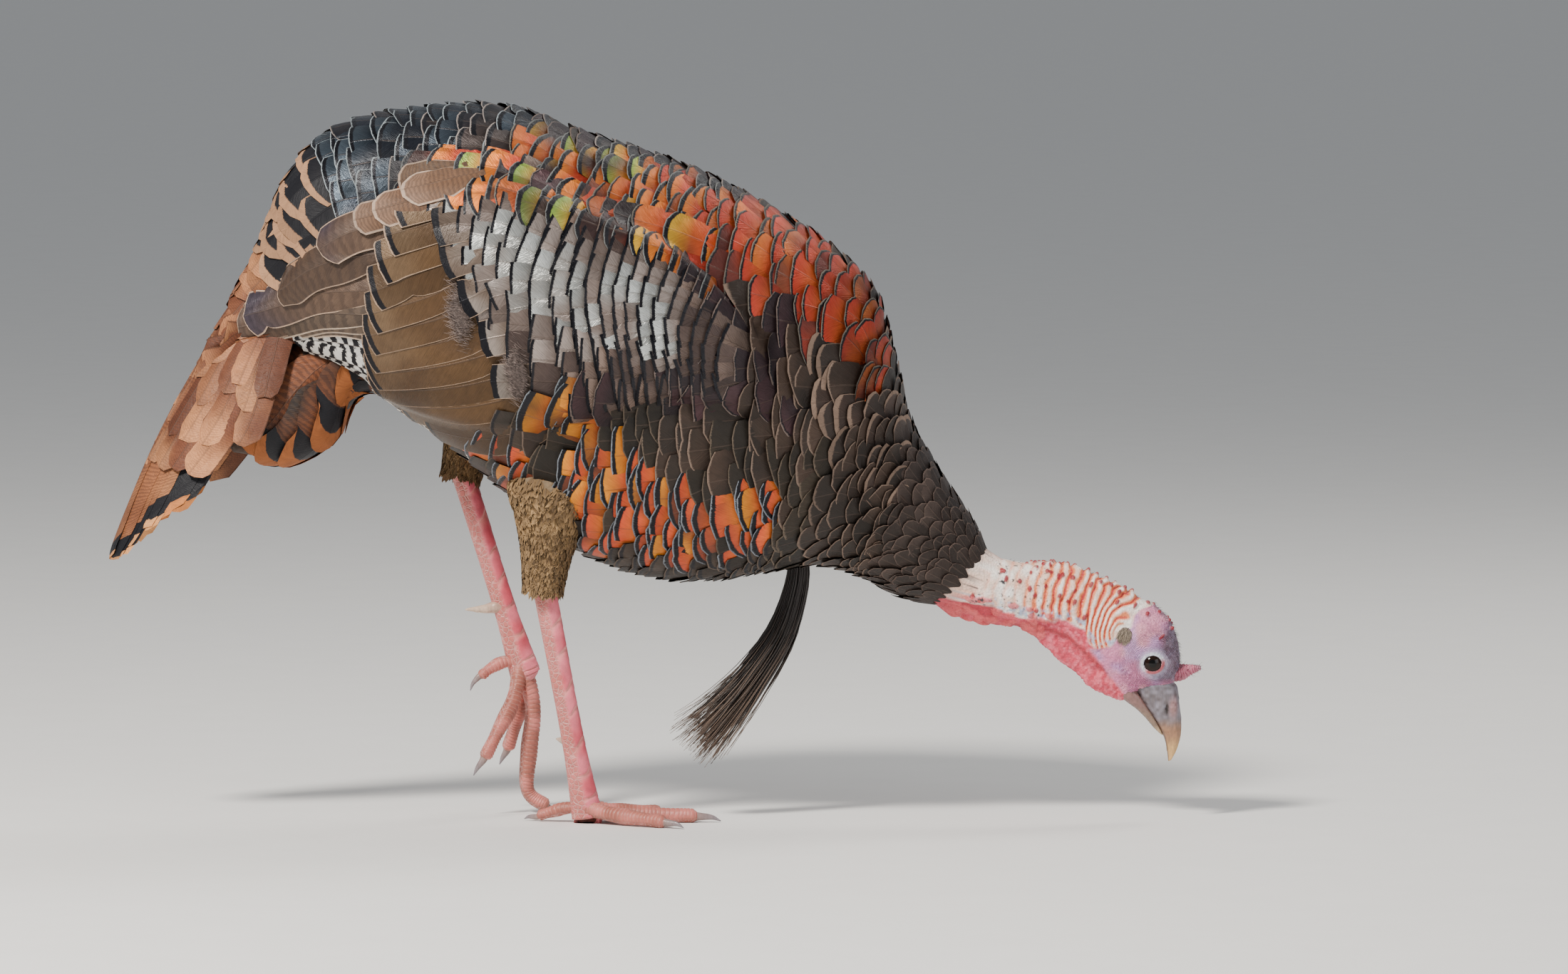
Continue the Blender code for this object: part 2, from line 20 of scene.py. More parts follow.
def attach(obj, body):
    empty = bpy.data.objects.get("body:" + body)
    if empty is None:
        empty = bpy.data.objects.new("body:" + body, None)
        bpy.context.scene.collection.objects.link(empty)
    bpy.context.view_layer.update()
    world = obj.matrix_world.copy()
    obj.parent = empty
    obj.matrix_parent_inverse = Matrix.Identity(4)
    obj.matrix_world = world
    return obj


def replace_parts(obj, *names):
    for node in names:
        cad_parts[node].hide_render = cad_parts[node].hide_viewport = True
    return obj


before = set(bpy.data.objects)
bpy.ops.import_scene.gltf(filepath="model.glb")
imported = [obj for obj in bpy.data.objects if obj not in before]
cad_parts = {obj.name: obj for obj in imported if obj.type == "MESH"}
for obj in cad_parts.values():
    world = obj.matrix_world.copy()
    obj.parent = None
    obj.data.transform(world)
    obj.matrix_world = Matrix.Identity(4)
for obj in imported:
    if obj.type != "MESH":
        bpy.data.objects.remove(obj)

Array = NDArray[np.float64]
Row = tuple[float, ...]
Table = tuple[Row, ...]
Rng = np.random.Generator
Material = bpy.types.Material
seeded = np.random.default_rng
MM = 0.001
NONE = -9.0  # for a mark that a feather doesn't have
MAP_RIM = 0.03  # the share of the coat's map left free along its sides
PATCH = (0.0015, 0.011)  # half the width and the whole length of a feather's patch of that map
SQUARENESS = 2.3
LOG = logging.getLogger("turkey")

# Upper outline x, z; lower outline x, z; half width; how far the widest level is above the middle.
TRUNK = (
    (-345, 404, -331, 373, 17),
    (-318, 458, -284, 370, 38),
    (-290, 521, -246, 352, 62),
    (-250, 555, -208, 326, 84),
    (-190, 568, -165, 295, 103),
    (-120, 570, -112, 250, 116, 0.05),
    (-50, 547, -58, 208, 122, 0.05),
    (20, 524, 5, 189, 123, 0.05),
    (85, 493, 58, 190, 118),
    (137, 461, 98, 197, 104, -0.05),
    (175, 423, 128, 200, 88, -0.05),
    (191, 372, 148, 195, 75),
    (204, 320, 166, 188, 64),
    (229, 275, 188, 176, 52),
    (251, 243, 207, 170, 41),
    (267, 212, 222, 167, 31),
)
NECK = (
    (268.5, 208, 229.5, 172, 25),
    (289, 204, 262, 163, 22),
    (313, 204, 290, 157, 20.5),
    (334, 200, 309, 151, 19.5),
    (352, 192, 326, 142, 19),
    (368, 185, 342, 130, 19),
    (384, 175.5, 354, 117, 19.5),
    (398, 168, 365, 107, 19.5),
    (408.5, 155, 372, 99.5, 18, 0.05),
    (414, 139, 378, 101, 15.5, 0.1),
    (415, 122, 383, 103, 13, 0.1),
    (411, 109, 389, 105, 9.5),
)
KEEL = (5, 8, 5, 13, 17, 19, 16, 11, 6, 2, 0, 0)  # how far the throat's wattle hangs, by the neck's sections
UPPER_BILL = (
    (406, 112, 374, 108, 9),
    (413, 105.5, 378.5, 103.4, 10.5, -0.1),
    (415, 92, 387.5, 89.2, 9, -0.1),
    (416.5, 78, 396.5, 76.4, 7, -0.1),
    (416, 66, 402.6, 65, 4.8, -0.1),
    (413, 55, 405, 54.5, 2.8),
    (408.6, 46.8, 406.2, 45.6, 0.9),
)
LOWER_BILL = (
    (373, 113, 363, 103, 9.5),
    (381, 104, 371.5, 94.3, 9.6),
    (388.5, 92, 379.6, 88.2, 8.2),
    (395.5, 80.5, 387.5, 80.8, 6.2),
    (400.2, 71.5, 394.2, 72.9, 4.0),
    (402.2, 66.5, 400.0, 67.2, 1.3),
)
UNDER_TAIL = (
    (-200, 352, -198, 332, 24),
    (-236, 384, -236, 334, 36),
    (-285, 388, -257, 296, 44),
    (-328, 352, -297, 279, 40),
    (-352, 312, -338, 283, 20),
)
# The folded tail: the x and z of its ridge, half width, drop of its sides, thickness.
TAIL = (
    (-258, 452, 16, 20, 10),
    (-308, 426, 24, 28, 10),
    (-343, 388, 36, 44, 10),
    (-371, 344, 47, 52, 9),
    (-395, 298, 46, 42, 7),
    (-414, 254, 40, 24, 4.5),
    (-428, 218, 29, 9, 2.5),
    (-430.6, 205, 22, 5, 2),
)
WING_ORDER = (0.1, 1.0, 2.0, 3.0, 4.0, 5.0, 6.0, 7.0, 8.0, 8.6)
WING_TOP = (0.30, 0.42, 0.36, 0.24, 0.19, 0.16, 0.16, 0.20, 0.30, 0.40)
WING_LOW = (0.96, 0.97, 0.96, 0.97, 0.93, 0.84, 0.70, 0.58, 0.54, 0.50)
WING_THICK = (3.5, 5.0, 7.0, 9.0, 11.0, 13.0, 15.0, 14.0, 9.0, 2.5)
WING_GAP, WING_EDGE = 2.2, 0.3

BEARD = ((113, 0, 212), (111, 0, 185), (99, 0, 147), (75, 0, 110), (50, 0, 79), (26, 0, 53))
LEGS = {
    "right": {"hip": (-78, -56, 292), "hock": (-89, -44, 188), "foot": (-57, -36, 15)},
    "left": {"hip": (-134, 58, 350), "hock": (-156, 46, 272), "foot": (-109, 42, 121)},
}
THIGH_RADII = (42, 40, 28, 21, 17)
SHANK_RADII = (13.5, 9.6, 8.6, 8.8, 12.0)
SHANK_FLAT = 0.78
SPUR_LENGTH, SPUR_RADIUS, SPUR_AT = 24, 5.2, 0.7
SPUR_HEADINGS = {"right": (-0.4, 0.9, -0.16), "left": (-0.93, -0.32, -0.16)}
TOES = {
    "right": {
        "middle": ((-30, -34, 8), (0, -33, 6.2), (33, -32, 4.8), (51, -32, 1.2)),
        "inner": ((-38, -22, 8), (-18, -7, 6), (3, 7, 4.4), (17, 15, 1.2)),
        "outer": ((-36, -49, 8), (-14, -63, 6), (8, -76, 4.4), (22, -84, 1.2)),
        "hind": ((-71, -31, 11), (-84, -25, 7), (-94, -20, 3.6), (-105, -15, 1.2)),
    },
    "left": {
        "middle": ((-100, 42, 86), (-103, 42, 50), (-104, 42, 18), (-88, 42, 4.4), (-70, 42, 1.2)),
        "inner": ((-115, 30, 92), (-127, 20, 68), (-138, 14, 46), (-146, 12, 33)),
        "outer": ((-110, 54, 90), (-115, 64, 68), (-121, 70, 48), (-127, 72, 36)),
        "hind": ((-122, 38, 122), (-133, 35, 117), (-142, 33, 110), (-149, 32, 99)),
    },
}
TOE_RADII = {"middle": 7.2, "inner": 6.6, "outer": 6.6, "hind": 5.4}
EYE_CENTRE, EYE_RADIUS = np.array((393, 10.2, 125.0)), 9.6
EAR_CENTRE = np.array((370.0, 19.0, 147.5))
SNOOD = ((403, 0, 116.5), (414, 0, 116.5), (423, 0, 118.5), (431.9, 0, 120.4))
SNOOD_RADII = (7.6, 6.6, 4.2, 1.5)
NOSTRIL, NOSTRIL_COVER = (404.9, 88), (409.8, 89)  # x and z of the pit and of the flap over it
SIDES = {"left": 1, "right": -1}
BROAD_LANES = (-1.0, -0.85, -0.6, -0.3, 0.0, 0.3, 0.6, 0.85, 1.0)
VANE_ANGLE = 75.0  # degrees past which a vane's edge is sharp


# --- curves and noise ---


def smooth(rows: Any, at: Any) -> Array:
    """Values of a table's rows at places along it, by a Catmull-Rom curve through the rows.

    Args:
        rows: The table, one row for each whole place.
        at: Places, in rows; those past an end stay on it.

    Returns:
        The places' rows, in a new last axis.
    """
    rows = np.asarray(rows, float)
    at = np.clip(np.asarray(at, float), 0, len(rows) - 1)
    i = np.minimum(at.astype(int), len(rows) - 2)
    t = (at - i)[..., None]
    ends = np.vstack([2 * rows[0] - rows[1], rows, 2 * rows[-1] - rows[-2]])
    a, b, c, d = (ends[i + k] for k in range(4))
    return 0.5 * (2 * b + (c - a) * t + (2 * a - 5 * b + 4 * c - d) * t**2 + (3 * b - a - 3 * c + d) * t**3)


def run_on(rows: Any, at: Any) -> Array:
    """The same as smooth, but a place past an end lies straight on from there."""
    rows, at = np.asarray(rows, float), np.asarray(at, float)
    past = at - np.clip(at, 0, len(rows) - 1)
    end = np.where((past > 0)[..., None], rows[-1] - rows[-2], rows[1] - rows[0])
    return smooth(rows, at) + past[..., None] * end


def column(values: Any, at: Any) -> Array:
    """One value at places along a row of named values, on a smooth curve."""
    return smooth(np.asarray(values, float)[:, None], at)[..., 0]


def power(value: Array, exponent: float) -> Array:
    """The size of value raised to the exponent, with its sign kept."""
    return np.sign(value) * np.abs(value) ** exponent


def ease(value: Any) -> Array:
    """0 below 0, 1 above 1, and an even S between."""
    t = np.clip(value, 0, 1)
    return t * t * (3 - 2 * t)


def unit(vectors: Array) -> Array:
    """The vectors, each made one long."""
    return vectors / np.maximum(np.linalg.norm(vectors, axis=-1, keepdims=True), 1e-9)


def dot(a: Array, b: Array) -> Array:
    """Products of vectors along the last axis, which stays, one long."""
    return (a * b).sum(-1, keepdims=True)


def noise(points: Array, size: float, seed: int) -> Array:
    """Smooth noise from 0 to 1: random numbers on a lattice, eased between its corners.

    Args:
        points: Places in millimetres.
        size: The lattice's spacing in millimetres.
        seed: Picks one of many such noises.

    Returns:
        One number for each point.
    """
    cell = points / size
    low = np.floor(cell).astype(np.int64)
    t = ease(cell - low)
    total = np.zeros(points.shape[:-1])
    for corner in itertools.product((0, 1), repeat=3):
        key = low + np.array(corner)
        mixed = key[..., 0] * 73856093 ^ key[..., 1] * 19349663 ^ key[..., 2] * 83492791 ^ seed * 26544357
        mixed = (mixed ^ (mixed >> 13)) * 1274126177 & 0xFFFFFF
        total += mixed / 0xFFFFFF * np.prod(np.where(corner, t, 1 - t), -1)
    return total


def blend(weight: Array, low: Any, high: Any) -> Array:
    """A mix of two colours: low where the weight is 0 and high where it is 1."""
    weight = np.asarray(weight)[..., None]
    return np.asarray(low) * (1 - weight) + np.asarray(high) * weight


def painted(tone: Any, *coats: tuple[Array, Any]) -> Array:
    """A colour under others that are laid on in turn, each with its weight."""
    for weight, colour in coats:
        tone = blend(weight, tone, colour)
    return tone


def ring_grid(first: float, last: float, rings: int, around: int) -> tuple[Array, Array]:
    """Places from first to last by the angles of a whole turn, as two grids."""
    p, q = np.meshgrid(np.linspace(first, last, rings), np.arange(around) * math.pi / (around / 2), indexing="ij")
    return p, q


def upright(x: Array, z: Array) -> Array:
    """Points in the middle plane, from their x and z."""
    return np.stack([x, np.zeros_like(x), z], -1)


def depth_share(q: Array) -> Array:
    """How deep in its section an angle from the top reaches, from 0 to 1."""
    return (1 - power(np.cos(q), 2 / SQUARENESS)) / 2


# --- surfaces ---


class Surface:
    """A surface of two parameters, p along it and q across or round it."""

    spread: Row = (0, 1, 0, 1)  # lowest and highest p, then q, for the coat's map

    def points(self, p: Array, q: Array) -> Array:
        """Points at those parameters, in millimetres.

        Args:
            p: Places along.
            q: Places across or round.

        Returns:
            The points.
        """
        raise NotImplementedError

    def core(self, p: Array, q: Array) -> Array:
        """A point inside the form beside each of them, which tells outwards.

        Args:
            p: Places along.
            q: Places across or round.

        Returns:
            The inner points.
        """
        raise NotImplementedError

    def frame(self, p: Array, q: Array) -> tuple[Array, Array, Array, Array]:
        """The points, both tangents and the outward unit normal, from differences between near points.

        Args:
            p: Places along.
            q: Places across or round.

        Returns:
            The points, what a step of p adds, what a step of q adds, and the normals.
        """
        step = 0.01
        here = self.points(p, q)
        along = (self.points(p + step, q) - self.points(p - step, q)) / (2 * step)
        across = (self.points(p, q + step) - self.points(p, q - step)) / (2 * step)
        normal = unit(np.cross(along, across))
        return here, along, across, normal * np.sign(dot(normal, here - self.core(p, q)))

    def map_place(self, p: Array, q: Array) -> Array:
        """Where those parameters lie on the unwrapped skin, from 0 to 1 both ways."""
        p0, p1, q0, q1 = self.spread
        wide = 1 - 2 * MAP_RIM
        return np.stack([MAP_RIM + wide * (p - p0) / (p1 - p0), MAP_RIM + wide * (q - q0) / (q1 - q0)], -1)


class Loft(Surface):
    """Sections joined by smooth curves. p counts sections, and q is the angle from the top towards the left."""

    def __init__(self, rows: Any) -> None:
        """Keeps the sections' table."""
        self.rows = np.array([(*row, 0.0)[:6] for row in rows], float)
        self.last = len(self.rows) - 1.0
        self.spread = (0, self.last, -math.pi, math.pi)

    def section(self, p: Array) -> Array:
        """The section at p, running straight on a little past both ends."""
        before, after = np.minimum(p, 0)[..., None], np.maximum(p - self.last, 0)[..., None]
        ahead = (self.rows[1] - self.rows[0])[[0, 1, 0, 1, 4, 5]] * (1, 1, 1, 1, 0.3, 0)
        row = smooth(self.rows, p) + np.maximum(before, -2.4) * ahead
        return row + after * (self.rows[-1] - self.rows[-2])

    def points(self, p: Array, q: Array) -> Array:
        """A superellipse in each section: the middle, plus the half height and half width times its two powers."""
        p, q = np.broadcast_arrays(p, q)
        row = self.section(p)
        top, low = row[..., 0:2], row[..., 2:4]
        up = power(np.cos(q), 2 / SQUARENESS)
        level = up + row[..., 5] * (1 - up**2)
        flat = (top + low) / 2 + (top - low) / 2 * level[..., None]
        return np.stack([flat[..., 0], power(np.sin(q), 2 / SQUARENESS) * row[..., 4], flat[..., 1]], -1)

    def core(self, p: Array, q: Array) -> Array:
        """The middle of the section."""
        row = self.section(np.broadcast_arrays(p, q)[0])
        return upright((row[..., 0] + row[..., 2]) / 2, (row[..., 1] + row[..., 3]) / 2)


def on_wing(values: Row, p: Array) -> Array:
    """One of the wing's rows of values, at places along the trunk."""
    return column(values, np.interp(p, WING_ORDER, np.arange(len(WING_ORDER))))


def wing_share(p: Array, q: Array) -> Array:
    """How far across the folded wing a place is, from 0 at its upper edge to 1 at its lower edge."""
    top, low = on_wing(WING_TOP, p), on_wing(WING_LOW, p)
    return (depth_share(q) - top) / (low - top)


def wing_angle(p: Array, across: Array) -> Array:
    """The angle from the top at which a trunk section reaches that far across the wing."""
    share = on_wing(WING_TOP, p) * (1 - across) + on_wing(WING_LOW, p) * across
    return np.arccos(np.clip(power(1 - 2 * share, SQUARENESS / 2), -1, 1))


class Plumage(Loft):
    """The trunk's form with the folded wings swelling its sides."""

    def points(self, p: Array, q: Array) -> Array:
        """The trunk's point, moved outwards by the wing's thickness, which eases to nothing at its edges."""
        p, q = np.broadcast_arrays(np.asarray(p, float), q)
        across = np.clip(wing_share(p, q), 0, 1)
        swell = WING_EDGE + (1 - WING_EDGE) * np.maximum(4 * across * (1 - across), 1e-6) ** 0.6
        edges = ease(across / 0.12) * ease((1 - across) / 0.08) * ease((9.0 - p) / 1.2)
        rise = edges * (WING_GAP + on_wing(WING_THICK, p) * swell)
        here, _, _, outwards = Loft(self.rows).frame(p, q)
        return here + outwards * rise[..., None]


class TailSheet(Surface):
    """The ridge and sides of the folded tail. p counts its stations, and q goes from one side to the other."""

    spread = (0, 7, -1, 1)
    depth = 60.0  # how far under the ridge its core lies

    def points(self, p: Array, q: Array) -> Array:
        """The ridge's point, plus the half width times q, and less the drop times q squared."""
        p, q = np.broadcast_arrays(p, q)
        row = smooth(TAIL, p)
        flat = run_on(TAIL, p)[..., :2] - self.upwards(p) * (row[..., 3] * q**2)[..., None]
        return np.stack([flat[..., 0], row[..., 2] * q, flat[..., 1]], -1)

    def upwards(self, p: Array) -> Array:
        """The direction square to the ridge, in the middle plane."""
        ahead = unit((run_on(TAIL, p + 0.05) - run_on(TAIL, p - 0.05))[..., :2])
        return np.stack([ahead[..., 1], -ahead[..., 0]], -1)

    def core(self, p: Array, q: Array) -> Array:
        """A point well under the ridge."""
        p = np.broadcast_arrays(p, q)[0]
        row, up = smooth(TAIL, p), self.upwards(p)
        deep = row[..., 3] + self.depth
        return upright(row[..., 0] - up[..., 0] * deep, row[..., 1] - up[..., 1] * deep)


class Tube(Surface):
    """A round limb along a path. p goes from 0 to 1 along it, and q is the angle round it, 0 being its front."""

    spread = (0, 1, -math.pi, math.pi)

    def __init__(self, path: Any, broad: Any, deep: Any, side: Any = (0, 1, 0)) -> None:
        """Keeps the path, its radii across and along the side direction, and that direction."""
        self.path, self.side = np.asarray(path, float), np.asarray(side, float)
        self.radii = np.stack([np.asarray(broad, float), np.asarray(deep, float)], 1)

    def axes(self, p: Array) -> tuple[Array, Array, Array]:
        """The path's point, and the two directions across it."""
        last = len(self.path) - 1
        ahead = unit(run_on(self.path, (p + 0.01) * last) - run_on(self.path, (p - 0.01) * last))
        side = unit(self.side - ahead * dot(ahead, self.side))
        return run_on(self.path, p * last), np.cross(ahead, side), side

    def points(self, p: Array, q: Array) -> Array:
        """The path's point, plus both directions times the radii and the cosine and sine of the angle."""
        p, q = np.broadcast_arrays(p, q)
        centre, front, side = self.axes(p)
        radii = smooth(self.radii, np.clip(p, 0, 1) * (len(self.radii) - 1))
        return centre + front * (np.cos(q) * radii[..., 0])[..., None] + side * (np.sin(q) * radii[..., 1])[..., None]

    def core(self, p: Array, q: Array) -> Array:
        """The path's point."""
        return self.axes(np.broadcast_arrays(p, q)[0])[0]


# --- meshes ---


def placed(name: str, data: Any) -> bpy.types.Object:
    """A new object in the scene, for a mesh, a light or a camera."""
    obj = bpy.data.objects.new(name, data)
    bpy.context.scene.collection.objects.link(obj)
    return obj


@dataclass
class Shape:
    """A mesh in the making: points in millimetres, four-sided faces, and values at the points."""

    points: Array
    quads: NDArray[np.int64]
    values: dict[str, Array] = field(default_factory=dict)
    bake: Array | None = None

    def build(self, name: str, material: Material, slot: str, sharp: float = 180.0) -> bpy.types.Object:
        """Makes the object, with faces outwards, smooth but for edges sharper than an angle.

        Args:
            name: The object's name.
            material: Its material.
            slot: The record's material slot; not used.
            sharp: The least angle of a sharp edge, in degrees.

        Returns:
            The object, at the origin.
        """
        quads = self.quads
        corners = self.points[quads]
        middle = self.points.mean(0)
        a, b, c, d = (corners[:, k] - middle for k in range(4))
        volume = a * (np.cross(b, c) + np.cross(c, d))
        if volume.sum() < 0:
            quads = quads[:, ::-1]
        mesh = bpy.data.meshes.new(name)
        mesh.vertices.add(len(self.points))
        mesh.vertices.foreach_set("co", (self.points * MM).ravel())
        mesh.loops.add(quads.size)
        mesh.loops.foreach_set("vertex_index", quads.ravel().astype(np.int32))
        mesh.polygons.add(len(quads))
        mesh.polygons.foreach_set("loop_start", np.arange(0, quads.size, 4, dtype=np.int32))
        mesh.update(calc_edges=True)
        mesh.shade_smooth()
        for key, value in self.values.items():
            kind, member = ("FLOAT_VECTOR", "vector") if value.shape[1] == 3 else ("FLOAT_COLOR", "color")
            mesh.attributes.new(key, kind, "POINT").data.foreach_set(member, value.ravel())
        if self.bake is not None:
            layer = mesh.uv_layers.new(name="OFBake")
            layer.data.foreach_set("uv", self.bake[quads.ravel()].ravel())
        if sharp < 180:
            mesh.set_sharp_from_angle(angle=math.radians(sharp))
        mesh.materials.append(material)
        obj = placed(name, mesh)
        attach(obj, "root")
        LOG.info("%s: %d faces", name, len(quads))
        return obj


def join(*shapes: Shape) -> Shape:
    """Several shapes as one, with the first one's kinds of values.

    Args:
        shapes: The shapes.

    Returns:
        The joined shape.
    """
    starts = np.cumsum([0] + [len(shape.points) for shape in shapes[:-1]])
    return Shape(
        np.concatenate([shape.points for shape in shapes]),
        np.concatenate([shape.quads + start for shape, start in zip(shapes, starts)]),
        {key: np.concatenate([shape.values[key] for shape in shapes]) for key in shapes[0].values},
    )


def rings_shape(rings: Array, values: dict[str, Array] | None = None) -> Shape:
    """A closed skin through rings of points, an even number in each, its ends closed by ladders of faces.

    Args:
        rings: Points by ring and by place round it, with no place repeated.
        values: Values at the same points.

    Returns:
        The shape.
    """
    count, around = rings.shape[:2]
    i, j = np.meshgrid(np.arange(count - 1), np.arange(around), indexing="ij")
    k = (j + 1) % around
    sides = np.stack([i * around + j, i * around + k, (i + 1) * around + k, (i + 1) * around + j], -1).reshape(-1, 4)
    a = np.arange(around // 2 - 1)
    cap = np.stack([a, around - 1 - a, around - 2 - a, a + 1], -1)
    quads = np.concatenate([sides, cap, cap[:, ::-1] + (count - 1) * around])
    flat = {key: value.reshape(count * around, -1) for key, value in (values or {}).items()}
    return Shape(rings.reshape(-1, 3), quads, flat)


def toned(rings: Array, tone: Array) -> Shape:
    """A closed skin through rings of points, with a colour at each point."""
    return rings_shape(rings, {"tone": np.concatenate([tone, np.ones((*tone.shape[:-1], 1))], -1)})


def tube_strands(paths: Array, radii: Array) -> Shape:
    """Thin closed strands, each a four-sided tube along its own path.

    Args:
        paths: Points by strand and by step.
        radii: The radius at each of those points.

    Returns:
        All strands as one shape, with their place along (0 to 1) as the first of the value "vane".
    """
    count, steps, sides = *paths.shape[:2], 4
    ahead = unit(np.gradient(paths, axis=1))
    side = unit(np.cross(ahead, np.array((0.13, 0.95, 0.29))))
    other = np.cross(ahead, side)
    angle = np.arange(sides) * 2 * math.pi / sides
    ring = side[:, :, None] * np.cos(angle)[:, None] + other[:, :, None] * np.sin(angle)[:, None]
    points = paths[:, :, None] + ring * radii[:, :, None, None]
    one = rings_shape(points[0])
    starts = np.arange(count)[:, None, None] * steps * sides
    seeds = seeded(7).random(count)
    vane = np.stack(
        np.broadcast_arrays(np.linspace(0, 1, steps)[None, :, None], np.zeros((1, 1, sides)), seeds[:, None, None]), -1
    )
    quads = (one.quads[None] + starts).reshape(-1, 4)
    return Shape(points.reshape(-1, 3), quads, {"vane": vane.reshape(-1, 3)})


def bristles(paths: Array, radius: float, taper: float) -> Shape:
    """Strands of one radius, which loses that share of itself evenly along them.

    Args:
        paths: Points by strand and by step.
        radius: The radius at the roots.
        taper: The share that is lost at the tips.

    Returns:
        All strands as one shape.
    """
    radii = radius * (1 - taper * np.linspace(0, 1, paths.shape[1]))
    return tube_strands(paths, np.broadcast_to(radii, paths.shape[:2]))


# --- shaders ---


class Signal:
    """A number socket of a shader, on which arithmetic adds Math nodes."""

    def __init__(self, shader: "Shader", socket: bpy.types.NodeSocket) -> None:
        """Wraps the socket."""
        self.shader, self.socket = shader, socket

    def math(self, operation: str, *others: Any) -> "Signal":
        """A Math node of that operation on this value and others."""
        made = self.shader.node("Math", {"operation": operation}, dict(enumerate((self, *others))))
        return Signal(self.shader, made.outputs[0])

    def __add__(self, other: Any) -> "Signal":
        """This value plus another."""
        return self.math("ADD", other)

    def __sub__(self, other: Any) -> "Signal":
        """This value less another."""
        return self.math("SUBTRACT", other)

    def __rsub__(self, other: Any) -> "Signal":
        """Another value less this one."""
        return (self * -1.0).math("ADD", other)

    def __mul__(self, other: Any) -> "Signal":
        """This value times another."""
        return self.math("MULTIPLY", other)

    def __truediv__(self, other: Any) -> "Signal":
        """This value divided by another."""
        return self.math("DIVIDE", other)

    __radd__ = __add__
    __rmul__ = __mul__

    def ramp(self, start: Any, width: Any) -> "Signal":
        """0 up to start, and 1 from start plus width on."""
        return ((self - start) / width).math("MAXIMUM", 0.0).math("MINIMUM", 1.0)


class Shader:
    """A material's node tree in the making."""

    def __init__(self, name: str) -> None:
        """Starts a material with an empty tree."""
        self.material = bpy.data.materials.new(name)
        self.material.use_nodes = True
        self.tree = self.material.node_tree
        self.tree.nodes.clear()

    def node(self, kind: str, settings: dict[str, Any], inputs: dict[Any, Any]) -> bpy.types.Node:
        """Adds a node.

        Args:
            kind: The node's type, without "ShaderNode".
            settings: Its properties, set first.
            inputs: Values, sockets or signals by the input's name or number.

        Returns:
            The node.
        """
        made = self.tree.nodes.new("ShaderNode" + kind)
        for key, value in settings.items():
            setattr(made, key, value)
        for key, value in inputs.items():
            value = value.socket if isinstance(value, Signal) else value
            if isinstance(value, bpy.types.NodeSocket):
                self.tree.links.new(value, made.inputs[key])
            else:
                made.inputs[key].default_value = value
        return made

    def attribute(self, name: str) -> bpy.types.Node:
        """A node that reads the mesh's value of that name."""
        return self.node("Attribute", {"attribute_name": name}, {})

    def numbers(self, name: str) -> tuple[Signal, Signal, Signal]:
        """The three numbers of the mesh's value of that name."""
        return self.parts(self.attribute(name).outputs["Vector"])

    def parts(self, vector: bpy.types.NodeSocket) -> tuple[Signal, Signal, Signal]:
        """The three numbers of a vector."""
        made = self.node("SeparateXYZ", {}, {0: vector})
        return Signal(self, made.outputs[0]), Signal(self, made.outputs[1]), Signal(self, made.outputs[2])

    def vector(self, x: Any, y: Any, z: Any) -> bpy.types.NodeSocket:
        """A vector of three numbers."""
        return self.node("CombineXYZ", {}, {0: x, 1: y, 2: z}).outputs[0]

    def place(self) -> bpy.types.NodeSocket:
        """Object coordinates, in metres."""
        return self.node("TexCoord", {}, {}).outputs["Object"]

    def noise(self, where: bpy.types.NodeSocket, scale: float, detail: float = 2.0) -> Signal:
        """Noise round 0.5 at that scale."""
        inputs = {"Vector": where, "Scale": scale, "Detail": detail}
        return Signal(self, self.node("TexNoise", {}, inputs).outputs[0])

    def cells(self, where: bpy.types.NodeSocket, scale: float, feature: str = "F1") -> Signal:
        """Distances from a Voronoi pattern's points or edges."""
        made = self.node("TexVoronoi", {"feature": feature}, {"Vector": where, "Scale": scale})
        return Signal(self, made.outputs["Distance"])

    def mix(self, factor: Any, low: Any, high: Any) -> bpy.types.NodeSocket:
        """The low colour where the factor is 0, and the high one where it is 1."""
        return self.node("Mix", {"data_type": "RGBA"}, {0: factor, 6: low, 7: high}).outputs[2]

    def scaled(self, colour: Any, factor: Any) -> bpy.types.NodeSocket:
        """The colour times a number."""
        return self.node("VectorMath", {"operation": "SCALE"}, {0: colour, "Scale": factor}).outputs[0]

    def finish(self, colour: Any, roughness: Any, height: Any, distance: float, **fixed: Any) -> Material:
        """Adds the surface shader with a bump, and gives the material.

        Args:
            colour: The base colour.
            roughness: The roughness.
            height: The bump's height, from 0 to 1.
            distance: What a height of 1 stands for, in metres.
            fixed: Other sockets by name, with spaces written as underscores.

        Returns:
            The material.
        """
        bump = self.node("Bump", {}, {"Strength": 1.0, "Distance": distance, "Height": height})
        inputs = {"Base Color": colour, "Roughness": roughness, "Normal": bump.outputs[0]}
        inputs |= {key.replace("_", " "): value for key, value in fixed.items()}
        surface = self.node("BsdfPrincipled", {}, inputs)
        self.node("OutputMaterial", {}, {0: surface.outputs[0]})
        return self.material


class Finish:
    """A finish, which paints a material."""

    def make(self, name: str) -> Material:
        """The finish as a new material of that name."""
        return self.paint(Shader(name))

    def paint(self, s: Shader) -> Material:
        """Adds its nodes to the material.

        Args:
            s: The material's tree, still empty.

        Returns:
            The material.
        """
        raise NotImplementedError


